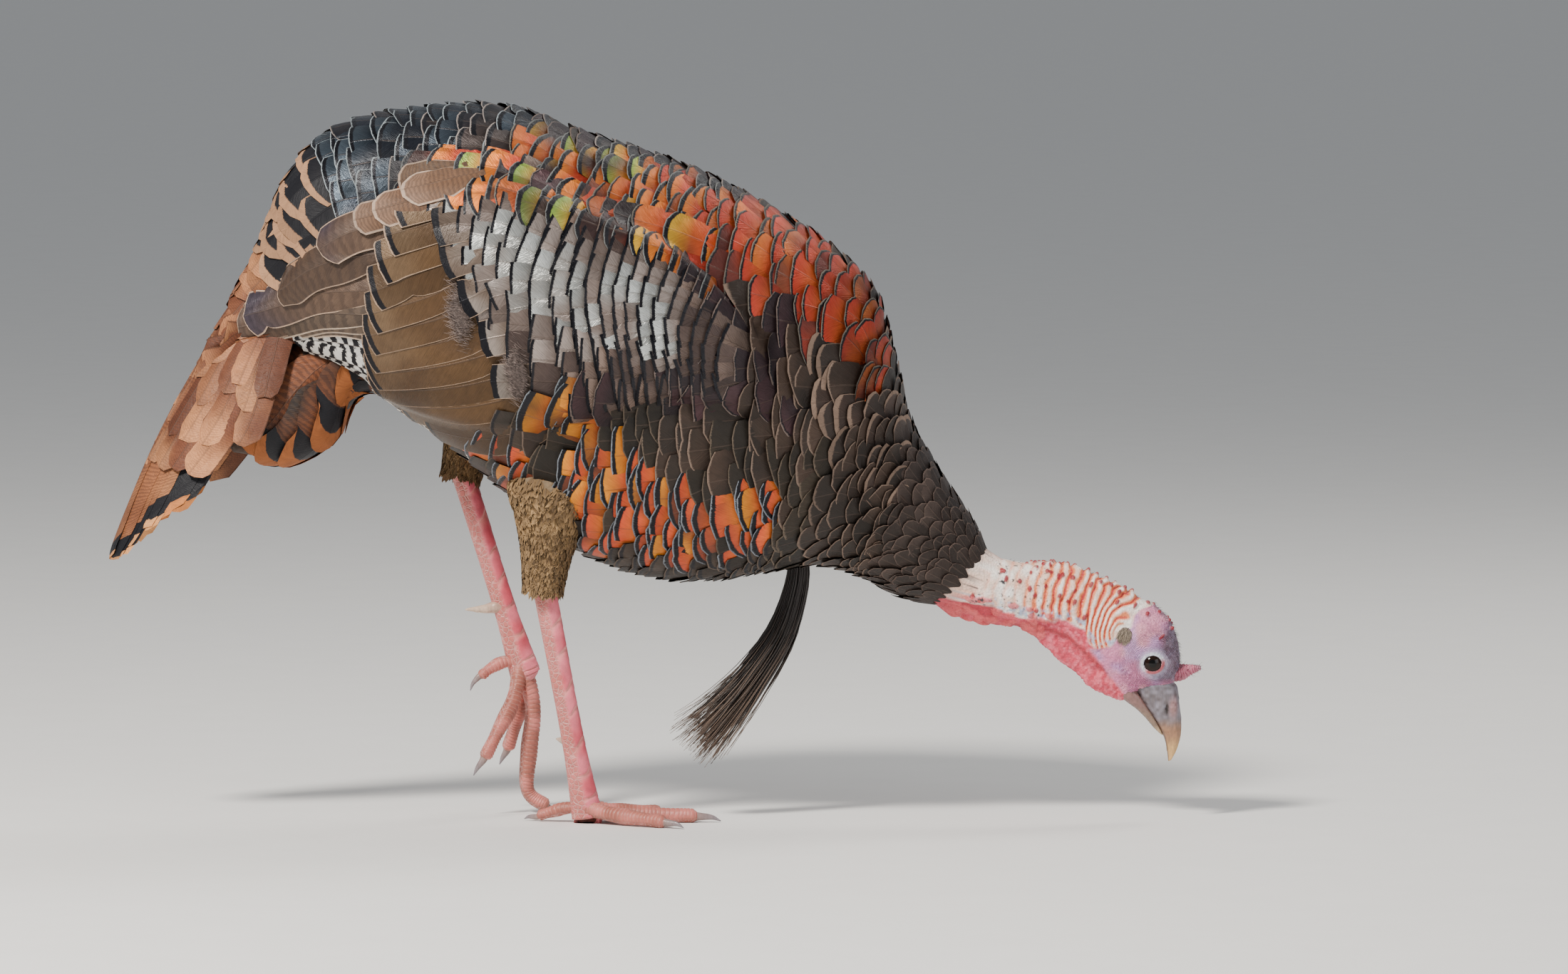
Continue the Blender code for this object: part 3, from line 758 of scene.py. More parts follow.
@dataclass(frozen=True)
class VaneFinish(Finish):
    """Feather vanes: barbs, a shaft, bars, a dark band and a pale fringe, with each one's gloss and painted sheen."""

    dark: Row = (0.008, 0.008, 0.011, 1)
    comb: float = 2.6

    def paint(self, s: Shader) -> Material:
        """Reads the vanes' own values."""
        u, v, seed = s.numbers("vane")
        length, half, barb = s.numbers("measure")
        band_from, spacing, strength = s.numbers("mark")
        metal, rough, painted_sheen = s.numbers("sheen")
        ground, edge = s.attribute("ground"), s.attribute("edge")
        fringe_wide, side_wide = Signal(s, edge.outputs["Alpha"]), Signal(s, ground.outputs["Alpha"])
        side = v.math("ABSOLUTE")
        from_tip, from_side = (1.0 - u) * length, (1.0 - side) * half
        barbs = s.noise(s.vector(barb * 1.1, seed * 57.0, side * 1.5), 1.0, 3.0)
        fine = s.noise(s.vector(barb * 3.2, seed * 31.0, side * 3.0), 1.0, 1.0)
        blotch = s.noise(s.place(), 140.0, 2.0)
        comb = (barbs - 0.5) * self.comb
        band = 1.0 - (from_tip + comb * 0.7).ramp(band_from - 0.4, 0.8)
        fringe = 1.0 - (from_tip + comb).ramp(fringe_wide - 0.4, 0.8)
        fringe = fringe.math("MAXIMUM", 1.0 - (from_side + comb * 0.4).ramp(side_wide - 0.3, 0.6))
        shift = v.math("GREATER_THAN", 0.0) * 0.5 + blotch * 0.9
        wave = ((from_tip / spacing + shift + barbs * 0.5) * (2 * math.pi)).math("SINE")
        bars = wave.ramp(-0.2, 0.4) * strength
        tone = barbs * 0.7 + fine * 0.3 + blotch * 0.5 + 0.25
        colour = s.scaled(ground.outputs["Color"], tone)
        colour = s.mix(bars.math("MAXIMUM", band), colour, self.dark)
        colour = s.mix(fringe, colour, s.scaled(edge.outputs["Color"], tone))
        shaft = 1.0 - (side * half).ramp(0.35, 0.5)
        colour = s.mix(shaft * 0.3 * (1.0 - band), colour, (0.10, 0.07, 0.055, 1))
        plain = (1.0 - fringe) * (0.35 + painted_sheen * 0.65)
        height = barbs * 0.6 + fine * 0.3 + shaft * 0.5
        roughness = rough + fringe * 0.3 + (barbs - 0.5) * 0.3
        return s.finish(colour, roughness, height, 0.0006, Metallic=metal * plain, Specular_IOR_Level=0.28)


@dataclass(frozen=True)
class SkinFinish(Finish):
    """Bare skin: its own tone with fine pores, pebbles, and wrinkles in rings round the eye.

    Its tone is darker between the pebbles and along the wrinkles: painted shade where the bump sinks.
    """

    pebble: float = 520.0
    depth: float = 0.0007
    roughness: float = 0.42
    mottle: float = 0.45
    ring: float = 0.00105

    def paint(self, s: Shader) -> Material:
        """Reads the skin's tone."""
        where = s.place()
        tone = s.attribute("tone").outputs["Color"]
        x, y, z = s.parts(where)
        there = s.vector(x, y.math("ABSOLUTE"), z)
        from_eye = s.node("VectorMath", {"operation": "DISTANCE"}, {0: there, 1: tuple(EYE_CENTRE * MM)})
        reach = Signal(s, from_eye.outputs["Value"])
        pebbles = s.cells(where, self.pebble)
        fine = s.noise(where, self.pebble * 2.5, 4.0)
        broad = s.noise(where, self.pebble * 0.25, 3.0)
        rings = ((reach / self.ring + broad * 4.0) * (2 * math.pi)).math("SINE") * 0.5 + 0.5
        rings = rings * reach.ramp(0.0125, 0.002) * (1.0 - reach.ramp(0.024, 0.010))
        # painted shade: darker away from each pebble's middle and along the wrinkles, where the bump sinks
        shade = (broad - 0.5) * self.mottle + (fine - 0.5) * self.mottle - pebbles * 0.35 - rings * 0.28 + 1.2
        height = (1.0 - pebbles) * 0.8 + fine * 0.4 + broad * 0.3 - rings * 0.7
        roughness = (fine - 0.5) * 0.3 + self.roughness
        return s.finish(s.scaled(tone, shade), roughness, height, self.depth, Subsurface_Weight=0.05)


@dataclass(frozen=True)
class ScaleFinish(Finish):
    """The scales of legs and toes: small rounded plates with pale joints."""

    cells: float = 260.0

    def paint(self, s: Shader) -> Material:
        """Reads the leg's tone and how far its front plates hide the small scales."""
        where = s.place()
        tone = s.attribute("tone")
        plate = Signal(s, tone.outputs["Alpha"])
        edges = s.cells(where, self.cells, "DISTANCE_TO_EDGE")
        joint = (1.0 - edges.ramp(0.02, 0.12)) * (1.0 - plate)
        fine = s.noise(where, 1500.0, 3.0)
        broad = s.noise(where, 130.0, 3.0)
        shade = (fine - 0.5) * 0.35 + (broad - 0.5) * 0.7 + 1.0
        colour = s.mix(joint * 0.45, s.scaled(tone.outputs["Color"], shade), (0.75, 0.48, 0.44, 1))
        height = 0.6 - joint * 0.6 + fine * 0.3
        return s.finish(colour, (fine - 0.5) * 0.3 + 0.42, height, 0.0007, Subsurface_Weight=0.05)


@dataclass(frozen=True)
class HornFinish(Finish):
    """Bill, claws and spurs: layered horn with its own tone, worn along its length."""

    def paint(self, s: Shader) -> Material:
        """Reads the horn's tone."""
        where = s.place()
        tone = s.attribute("tone").outputs["Color"]
        layers = s.noise(s.node("Mapping", {}, {"Vector": where, "Scale": (1, 1, 0.25)}).outputs[0], 700, 4)
        worn = s.noise(where, 250.0, 4.0)
        shade = (layers - 0.5) * 0.7 + (worn - 0.5) * 0.5 + 1.0
        height = layers * 0.7 + worn * 0.5
        return s.finish(s.scaled(tone, shade), (worn - 0.5) * 0.35 + 0.34, height, 0.0003, Coat_Weight=0.15)


@dataclass(frozen=True)
class EyeFinish(Finish):
    """A dark brown iris round a black pupil, under a clear wet surface."""

    def paint(self, s: Shader) -> Material:
        """Reads the distance from the eye's axis in millimetres."""
        reach, turn, _ = s.numbers("vane")
        rays = s.noise(s.vector(turn * 9.0, reach * 0.3, 0.0), 2.0, 3.0)
        iris = s.mix(rays, (0.004, 0.0016, 0.001, 1), (0.020, 0.007, 0.004, 1))
        colour = s.mix(reach.ramp(3.1, 0.4), (0.002, 0.002, 0.002, 1), iris)
        wet = {"Specular_IOR_Level": 0.15, "Coat_Weight": 0.3, "Coat_Roughness": 0.02}
        return s.finish(colour, rays * 0.04 + 0.08, rays, 0.00002, **wet)


@dataclass(frozen=True)
class StrandFinish(Finish):
    """Bristles and down: a root colour that changes to a tip colour."""

    root: Row = (0.018, 0.014, 0.013, 1)
    tip: Row = (0.14, 0.095, 0.07, 1)
    turn: float = 0.55
    roughness: float = 0.42

    def paint(self, s: Shader) -> Material:
        """Reads the place along each strand."""
        u, _, seed = s.numbers("vane")
        fine = s.noise(s.place(), 900.0, 2.0)
        factor = (u + (seed - 0.5) * 0.5).ramp(self.turn, 1.0 - self.turn + 0.1)
        colour = s.scaled(s.mix(factor, self.root, self.tip), seed * 0.8 + fine * 0.6 + 0.35)
        return s.finish(colour, (fine - 0.5) * 0.2 + self.roughness, fine, 0.0002)


@dataclass(frozen=True)
class FloorFinish(Finish):
    """A plain pale floor."""

    tone: Row = (0.86, 0.85, 0.83)

    def paint(self, s: Shader) -> Material:
        """Adds the faintest unevenness."""
        grain = s.noise(s.place(), 18.0, 3.0)
        return s.finish(s.scaled(self.tone, (grain - 0.5) * 0.05 + 1.0), 0.75, grain, 0.0002)


# --- feathers ---


@dataclass(frozen=True)
class Plume:
    """How one kind of feather looks.

    ground and tip are the vane's colours at its root and its end, painted sheen where it shines; shade is the darker
    colour where it doesn't, and edge that of the fringe, all in thousandths. marks say how far from the end the dark
    band starts, and how wide the fringe is at the end and along the sides, in millimetres. sheen is how metallic and
    how rough the vane is, and how much of it shows the painted sheen. bars are the spacing of dark bars and how dark
    they are.
    """

    ground: Row
    tip: Row
    edge: Row
    shade: Row
    marks: Row
    sheen: Row
    bars: Row = (9.0, 0.0)

    def row(self) -> Array:
        """All of it as one row of numbers."""
        colours = np.array((*self.ground, *self.tip, *self.edge, *self.shade)) / 1000
        return np.array((*colours, *self.marks, *self.bars, *self.sheen))


class Look(Enum):
    """The kinds of feather that the bird wears."""

    RUMP = Plume((14, 19, 28), (50, 66, 84), (260, 300, 320), (10, 12, 18), (4.5, 0.8, 0.4), (0.6, 0.28, 0.8))
    RUMP_BROWN = Plume((30, 22, 20), (50, 38, 36), (260, 220, 200), (12, 11, 14), (4.5, 1, 0.6), (0.4, 0.36, 0.6))
    RUMP_BARRED = Plume((12, 10, 11), (22, 16, 15), (330, 180, 100), (10, 8, 10), (26, 6.4, 0.8), (0.1, 0.5, 1))
    COPPER = Plume((400, 75, 20), (430, 46, 26), (150, 130, 105), (75, 20, 16), (2.6, 0.9, NONE), (0.6, 0.38, 1))
    ORANGE = Plume((380, 50, 20), (500, 125, 26), (150, 130, 105), (80, 25, 18), (2.6, 0.9, NONE), (0.6, 0.38, 1))
    FIRE = Plume((340, 34, 18), (520, 150, 20), (160, 165, 160), (30, 15, 14), (4.2, 0.8, NONE), (0.55, 0.38, 0.98))
    GOLD = Plume((450, 60, 15), (500, 290, 25), (160, 165, 160), (30, 18, 16), (4.2, 0.8, NONE), (0.55, 0.38, 0.98))
    GREEN = Plume((500, 150, 20), (200, 320, 60), (160, 165, 160), (30, 18, 16), (4.2, 0.8, NONE), (0.55, 0.38, 0.98))
    VIOLET = Plume((30, 18, 20), (60, 32, 36), (150, 110, 95), (18, 12, 14), (2, 0.8, NONE), (0.6, 0.33, 0.7))
    DARK = Plume((28, 17, 12), (52, 33, 24), (180, 125, 95), (19, 13, 10), (NONE, 1.1, NONE), (0.25, 0.42, 0.7))
    FRAYED = Plume((32, 20, 16), (58, 37, 29), (200, 135, 100), (24, 17, 14), (NONE, 3.4, 0.5), (0.25, 0.42, 0.7))
    OLIVE = Plume((20, 15, 10), (34, 25, 17), (120, 90, 65), (15, 11, 8), (NONE, 0.8, NONE), (0.25, 0.42, 0.7))
    FLANK = Plume((560, 150, 20), (600, 80, 32), (200, 220, 250), (120, 35, 18), (4, 0.8, NONE), (0.5, 0.4, 1.05))
    FLANK_GOLD = Plume((520, 75, 22), (680, 250, 20), (200, 220, 250), (120, 35, 18), (4, 0.8, NONE), (0.5, 0.4, 1.05))
    GILT = Plume((420, 100, 20), (600, 240, 20), (160, 180, 200), (24, 17, 14), (5.5, 0.8, NONE), (0.45, 0.4, 0.72))
    BELLY = Plume((40, 28, 20), (65, 45, 32), (120, 90, 70), (24, 18, 14), (3, 0.8, NONE), (0.15, 0.5, 0.6))
    MEDIAN = Plume((135, 100, 80), (235, 200, 175), (360, 250, 175), (100, 72, 55), (6, NONE, 0.35), (0.5, 0.32, 0.8))
    NAPE = Plume((28, 19, 16), (58, 40, 33), (110, 76, 62), (24, 16, 13), (NONE, 0.8, 0.4), (0.2, 0.45, 0.7))
    # painted highlight: pale pearl coverts at the edges of the gleam of light across the wing
    PEARL_HIGHLIGHT = Plume((170, 135, 120), (310, 260, 235), (200, 150, 120), (110, 83, 72), (2.3, NONE, NONE), (0.6, 0.3, 0.8))
    BRONZE = Plume((100, 70, 56), (200, 142, 115), (200, 150, 120), (50, 34, 30), (2.3, NONE, NONE), (0.65, 0.3, 0.75))
    # painted highlight: bright silver coverts in the middle of that gleam
    SILVER_HIGHLIGHT = Plume(
        (250, 245, 235), (470, 490, 475), (200, 150, 120), (160, 125, 110), (2.3, NONE, NONE), (0.7, 0.26, 0.9)
    )
    GREATER = Plume((92, 50, 22), (138, 88, 50), (330, 225, 155), (68, 36, 16), (6.8, 1.2, 0.45), (0.35, 0.38, 0.8))
    TERTIAL = Plume(
        (105, 66, 46), (46, 36, 48), (360, 250, 180), (80, 50, 35), (NONE, 1.5, 0.9), (0.25, 0.42, 0.7), (11, 0.22)
    )
    SECONDARY = Plume(
        (130, 90, 65), (130, 95, 70), (440, 340, 260), (100, 70, 50), (NONE, 1.5, 1.2), (0.15, 0.5, 1), (12, 0.35)
    )
    PRIMARY = Plume(
        (780, 760, 720), (720, 690, 640), (700, 680, 640), (700, 670, 600), (NONE, NONE, NONE), (0, 0.6, 1), (13, 1)
    )
    RECTRIX = Plume(
        (260, 90, 36), (440, 180, 75), (560, 255, 100), (170, 60, 26), (44, 12, NONE), (0.05, 0.55, 0.8), (3.4, 0.34)
    )
    RECTRIX_DARK = Plume(
        (200, 65, 26), (300, 100, 40), (460, 165, 50), (120, 45, 22), (118, 12, NONE), (0.05, 0.55, 0.8), (3.4, 0.5)
    )
    TAIL_COVERT = Plume(
        (130, 40, 18), (500, 215, 95), (85, 34, 18), (130, 42, 20), (NONE, NONE, 0.7), (0.05, 0.5, 0.8), (2, 0.22)
    )
    UNDER = Plume((170, 55, 22), (20, 14, 14), (360, 115, 35), (30, 20, 15), (40, 17, NONE), (0.1, 0.5, 1), (5, 0.4))
    BUFF = Plume(
        (120, 62, 34), (180, 105, 68), (400, 290, 220), (100, 56, 32), (NONE, 3.2, 1.4), (0.05, 0.55, 1), (4, 0.3)
    )
    TUFT = Plume((200, 120, 55), (330, 205, 95), (480, 340, 200), (170, 105, 50), (NONE, NONE, NONE), (0, 0.85, 0.7))


LOOKS = list(Look)
LOOK_ROWS = np.array([look.value.row() for look in LOOKS])


def number(look: Look) -> int:
    """The look's place in the table of all looks."""
    return LOOKS.index(look)


def numbers(*looks: Look) -> list[int]:
    """The places of several looks in that table."""
    return [number(look) for look in looks]


@dataclass
class Quills:
    """Feathers to be grown on a surface, with one entry for each in every array.

    root and reach are parameters of the surface: where a feather starts, and how far it goes to its tip. The other
    sizes are millimetres: its length and width, the height of its root over the surface, and how much higher its tip
    is. roundness is 0 for a square end and 1 for a round one, and bend is how far the middle leaves the straight line.
    """

    root: Array
    reach: Array
    length: Array
    width: Array
    base: Array
    lift: Array
    roundness: Array
    look: Array
    bend: Array

    def parts(self) -> list[Array]:
        """Its arrays, in order."""
        return [getattr(self, key) for key in self.__dataclass_fields__]

    def where(self, chosen: Array) -> "Quills":
        """Some of these feathers."""
        return Quills(*(part[chosen] for part in self.parts()))

    @classmethod
    def of(cls, root: Array, reach: Array, *rest: Any) -> "Quills":
        """Feathers whose other values are arrays, or one number or look for all of them.

        Args:
            root: Where they start.
            reach: How far they go.
            rest: Length, width, base, lift, roundness and look.

        Returns:
            The feathers.
        """
        count = len(root)
        sizes = [np.broadcast_to(np.asarray(value, float), (count,)) for value in rest[:-1]]
        look = LOOK_ROWS[number(rest[-1])][None].repeat(count, 0) if isinstance(rest[-1], Look) else rest[-1]
        return cls(root, reach, *sizes, look, np.zeros((count, 2)))

    def spine(self, u: Array) -> Array:
        """The places along the feathers at shares u of their length."""
        return self.root[:, None] + self.reach[:, None] * u[:, None] + self.bend[:, None] * (4 * u * (1 - u))[:, None]


def together(*sets: Quills) -> Quills:
    """Several sets of feathers as one."""
    return Quills(*(np.concatenate(parts) for parts in zip(*(quills.parts() for quills in sets))))


@dataclass
class Coat:
    """Grows feathers over a surface as closed vanes."""

    surface: Surface
    steps: int = 7
    lanes: Row = (-1.0, -0.8, -0.42, 0.0, 0.42, 0.8, 1.0)
    camber: float = 0.05
    ragged: float = 0.6
    thickness: float = 0.35
    roll: float = 0.025
    seed: int = 1

    def vanes(self, quills: Quills) -> Shape:
        """The vanes of all feathers as one shape.

        A vane's point lies at its share of the feather's length along the surface and its share of the half width
        across it, raised by the base, the lift and a camber that lowers its edges. The half width grows from a narrow
        root, and the end's corners draw back by the roundness. The under side is the same grid let down a little,
        and meets the upper one at the rim.

        Args:
            quills: The feathers.

        Returns:
            The shape, with the values that the vane finish reads and a small patch of the coat's map for each.
        """
        rng = seeded(self.seed)
        count, steps, lanes = len(quills.length), self.steps, len(self.lanes)
        u, v = 1 - np.linspace(1, 0, steps) ** 1.25, np.array(self.lanes)
        spine = quills.spine(u)
        _, along, across, normal = self.surface.frame(spine[..., 0], spine[..., 1])
        course = quills.reach[:, None] + quills.bend[:, None] * (4 - 8 * u)[:, None]
        flow = unit(along * course[..., :1] + across * course[..., 1:])
        turn = steer(along, across, np.cross(normal, flow))
        half = quills.width[:, None] / 2 * (0.25 + 0.75 * ease(u / 0.4))
        outwards = half[:, :, None, None] * v[:, None] * turn[:, :, None, :]
        corner = np.abs(v) ** 2.6 * ease((u - 0.5) / 0.5)[:, None]
        back = (quills.roundness * quills.width * 0.5)[:, None, None] * corner
        back = back + rng.uniform(-1, 1, (count, steps, lanes)) * self.ragged * (u**6)[:, None]
        where = spine[:, :, None] + outwards
        where = where - course[:, :, None] * (back / quills.length[:, None, None])[..., None]
        points = self.surface.points(where[..., 0], where[..., 1])
        height = quills.base[:, None, None] + quills.lift[:, None, None] * (u**1.2)[:, None]
        height = height - self.camber * quills.width[:, None, None] * v**2
        roll = self.roll * np.sign(quills.root[:, 1]) + rng.uniform(-0.009, 0.009, count)
        height = height + (roll * quills.width)[:, None, None] * v
        top = points + normal[:, :, None] * height[..., None]
        return self._closed(top, top - normal[:, :, None] * self.thickness, quills, u, v, rng)

    def grow(self, quills: Quills, name: str, material: Material, slot: str) -> bpy.types.Object:
        """Makes the feathers one piece of that name and material."""
        return self.vanes(quills).build(name, material, slot, VANE_ANGLE)

    def _closed(self, top: Array, under: Array, quills: Quills, u: Array, v: Array, rng: Rng) -> Shape:
        """Joins upper and under sides at the rim, and lays the values on the points.

        Args:
            top: The upper sides' points, by feather, step and lane.
            under: The under sides' points.
            quills: The feathers.
            u: The steps' shares of the length.
            v: The lanes' shares of the half width.
            rng: The source of what differs from feather to feather.

        Returns:
            The shape.
        """
        count, steps, lanes = top.shape[:3]
        size, inner = steps * lanes, (steps - 2) * (lanes - 2)
        upper = np.arange(size).reshape(steps, lanes)
        lower = upper.copy()
        lower[1:-1, 1:-1] = size + np.arange(inner).reshape(steps - 2, lanes - 2)
        faces = [np.stack([g[:-1, :-1], g[:-1, 1:], g[1:, 1:], g[1:, :-1]], -1).reshape(-1, 4) for g in (upper, lower)]
        one = np.concatenate([faces[0], faces[1][:, ::-1]])
        quads = (one[None] + np.arange(count)[:, None, None] * (size + inner)).reshape(-1, 4)

        def laid(*columns: Array) -> Array:
            """Grids of values side by side at a vane's points: all of the upper side, then the under side's inside."""
            wide = [np.broadcast_to(part, (count, steps, lanes, part.shape[-1])) for part in columns]
            grid = np.concatenate(wide, -1)
            parts = [grid.reshape(count, size, -1), grid[:, 1:-1, 1:-1].reshape(count, inner, -1)]
            return np.concatenate(parts, 1).reshape(count * (size + inner), -1)

        points = np.concatenate([top.reshape(count, size, 3), under[:, 1:-1, 1:-1].reshape(count, inner, 3)], 1)
        uu, vv = (grid[..., None] for grid in np.meshgrid(u, v, indexing="ij"))
        fate = rng.random((count, 1, 1, 3))
        look = quills.look[:, None, None]
        length, half = quills.length[:, None, None, None], quills.width[:, None, None, None] / 2
        # painted sheen: noise patches pick where a vane shows its bright colours, elsewhere its darker shade colour
        patchy = (noise(top, 24, self.seed) * 0.9 + fate[..., 1] * 0.7 - 1.15)[..., None]
        painted_sheen = ease(patchy * 1.6 + look[..., 19:20] * 1.3)
        ground = look[..., 0:3] + (look[..., 3:6] - look[..., 0:3]) * ease((uu - 0.5) / 0.42)
        ground = (look[..., 9:12] * (1 - painted_sheen) + ground * painted_sheen) * (0.75 + 0.5 * fate[..., 2:3])
        band = look[..., 12:13] * (0.85 + 0.3 * fate[..., 0:1])
        values = {
            "vane": laid(uu, vv, fate[..., 0:1]),
            "measure": laid(length, half, uu * length - np.abs(vv) * half * 1.2),
            "ground": laid(ground, look[..., 14:15]),
            "edge": laid(look[..., 6:9] * (0.8 + 0.4 * fate[..., 1:2]), look[..., 13:14]),
            "mark": laid(band, look[..., 15:17]),
            "sheen": laid(look[..., 17:19], painted_sheen),
        }
        spot = self.surface.map_place(quills.root[:, 0], quills.root[:, 1])[:, None, None]
        patch = np.concatenate(np.broadcast_arrays(vv * PATCH[0], (uu - 0.5) * PATCH[1]), -1)
        return Shape(points.reshape(-1, 3), quads, values, laid(spot + patch))


def steer(along: Array, across: Array, heading: Array) -> Array:
    """How much of each parameter moves a point one millimetre along a heading that lies in the surface.

    Args:
        along: What one step of the first parameter adds.
        across: What one step of the second adds.
        heading: The directions to go.

    Returns:
        Both parameters' changes.
    """
    pp, pq, qq = dot(along, along), dot(along, across), dot(across, across)
    hp, hq = dot(along, heading), dot(across, heading)
    return np.concatenate([hp * qq - hq * pq, hq * pp - hp * pq], -1) / np.maximum(pp * qq - pq * pq, 1e-6)


def flow_reach(surface: Surface, root: Array, length: Array, droop: Any, stray: Array) -> Array:
    """How far feathers reach, in the surface's parameters: back along the form, turned towards the ground.

    Args:
        surface: What they grow on.
        root: Where they start, as parameters.
        length: Their lengths in millimetres.
        droop: How strongly they turn down, as a share of the way back.
        stray: By what angle each leaves that course.

    Returns:
        The two parameters' changes from root to tip.
    """
    _, along, across, normal = surface.frame(root[:, 0], root[:, 1])
    down = np.array((0, 0, -1.0)) - normal * dot(normal, np.array((0, 0, -1.0)))
    heading = unit(down * np.broadcast_to(droop, len(root))[:, None] - unit(along))
    heading = heading * np.cos(stray)[:, None] + np.cross(normal, heading) * np.sin(stray)[:, None]
    return steer(along, across, heading) * length[:, None]


def even_rows(surface: Loft, first: float, last: float, spacing: Any, breadth: Any) -> Array:
    """Roots in staggered rows round a loft, evenly spaced as measured on it.

    Args:
        surface: The loft.
        first: The place of the first row.
        last: The place that no row passes.
        spacing: A function of the place: the distance to the next row.
        breadth: A function of the place: the distance between roots in a row.

    Returns:
        The roots' places along and their angles round.
    """
    sign = 1 if last > first else -1
    roots: list[Array] = []
    at = first
    fine = np.linspace(-math.pi, math.pi, 181)
    while (last - at) * sign > 0:
        ring = surface.points(np.full_like(fine, at), fine)
        run = np.concatenate([[0], np.cumsum(np.linalg.norm(np.diff(ring, axis=0), axis=1))])
        count = max(6, 2 * round(run[-1] / breadth(at) / 2))
        share = (np.arange(count) + 0.5 * (len(roots) % 2)) / count
        roots.append(np.stack([np.full(count, at), np.interp(share * run[-1], run, fine)], -1))
        side = surface.points(np.array([at, at + 0.02 * sign]), np.array([1.2, 1.2]))
        at += sign * 0.02 * spacing(at) / np.linalg.norm(side[1] - side[0])
    return np.concatenate(roots)


# --- the bird's parts ---


@dataclass
class BodyCoat:
    """The feathers of neck, breast, mantle, flanks, belly and rump."""

    form: Plumage = field(default_factory=lambda: Plumage(TRUNK))
    depth: float = 9.5
    places: Row = (0, 2, 5, 7, 9, 11, 13, 15)
    rows_apart: Row = (20, 18, 14, 11.5, 11, 11, 9.5, 6.5)
    roots_apart: Row = (26, 28, 29, 28, 29, 24, 15.5, 9)
    wing_places: Row = (1, 3, 4.2, 4.6, 5, 5.5, 5.8, 6.2, 6.8, 7.4)
    wing_limits: Row = (1.6, 1.45, 1.0, 0.95, 0.89, 0.83, 0.82, 0.88, 0.95, 0.95)
    bands: tuple[tuple[str, str, float, float], ...] = (
        ("plumage_neck", "plumage_dark", 11.0, 16.0),
        ("plumage_breast", "plumage_dark", 8.4, 11.0),
        ("plumage_mantle", "plumage_bronze", 5.6, 8.4),
        ("plumage_loin", "plumage_bronze", 3.0, 5.6),
        ("plumage_rump", "plumage_black", -1.0, 3.0),
    )

    def spacing(self, p: Any) -> Any:
        """The distance between rows, small at the neck and growing to the rump."""
        return np.interp(p, self.places, self.rows_apart)

    def breadth(self, p: Any) -> Any:
        """The distance between feathers of a row."""
        return np.interp(p, self.places, self.roots_apart)

    def looks(self, seen: Array, rng: Rng) -> Array:
        """Which look each feather wears, by its place on the bird, with ragged borders between them.

        Args:
            seen: The parameters where most of each feather shows.
            rng: The source of raggedness.

        Returns:
            The looks' rows.
        """
        p, q = seen.T
        share = depth_share(q) + rng.normal(0, 0.012, len(p))
        p = p + rng.normal(0, 0.1, len(p))
        kind = np.full(len(p), number(Look.DARK))

        def wear(where: Array, *looks: Look) -> None:
            """Gives those feathers one of these looks each."""
            kind[where] = rng.choice(numbers(*looks), len(p))[where]

        wear((p > 8.0) & (p < 12.5) & (share < 0.6), Look.DARK, Look.DARK, Look.FRAYED)
        wear((share > 0.55) & (p < 9.8), Look.OLIVE, Look.OLIVE, Look.DARK)
        wear((share > 0.80) & (p < 9.0), Look.BELLY)
        wear((share > 0.16) & (share < 0.60) & (p < 8.9), Look.VIOLET, Look.VIOLET, Look.DARK)
        wear((share < 0.16) & (p < 9.0), Look.VIOLET, Look.RUMP_BROWN, Look.DARK)
        lower = np.interp(
            p, (4.7, 6, 7.4, 7.9, 8.8, 9.5, 10.3, 11, 11.7), (0.24, 0.30, 0.30, 0.25, 0.26, 0.30, 0.28, 0.18, 0.05)
        )
        upper = np.interp(p, (5, 7, 9, 11), (0.03, 0.02, 0.0, 0.01))
        back = (share < lower) & (share > upper)
        wear(back & (p > 7.2) & (p < 11.9), Look.COPPER, Look.COPPER, Look.COPPER, Look.ORANGE)
        wear(back & (p > 10.6) & (p < 11.9), Look.COPPER, Look.DARK, Look.FRAYED)
        wear(back & (p > 6.4) & (p <= 7.6), Look.ORANGE, Look.COPPER, Look.FIRE, Look.FIRE)
        wear(back & (p > 4.7) & (p < 6.6), Look.GOLD, Look.GREEN, Look.FIRE, Look.FIRE, Look.ORANGE)
        low = np.interp(
            p, (4.4, 5, 5.8, 6.4, 6.8, 7.3, 8.2, 8.8, 9.3), (0.85, 0.86, 0.76, 0.70, 0.71, 0.775, 0.75, 0.76, 0.86)
        )
        high = np.interp(p, (4.4, 5, 5.6, 6.3, 6.8, 7.4, 9.0), (0.98, 0.975, 0.985, 0.975, 0.95, 0.93, 0.92))
        flank = (share > low) & (share < high) & (p > 4.0) & (p < 9.1)
        wear(flank, Look.FLANK, Look.FLANK, Look.FLANK, Look.FLANK_GOLD)
        wear(flank & (rng.random(len(p)) < 0.05), Look.OLIVE)
        wear((share > 0.58) & (share < 0.73) & (p > 4.8) & (p < 6.3), Look.GILT, Look.VIOLET, Look.GILT)
        wear((p < 5.2) & (share < 0.5), Look.RUMP, Look.RUMP, Look.RUMP, Look.RUMP_BROWN)
        wear((p < 2.6) & (share < 0.8), Look.RUMP_BARRED)
        wear((p < 0.9), Look.TAIL_COVERT)
        wear(p > 12.1, Look.NAPE)
        return LOOK_ROWS[kind]

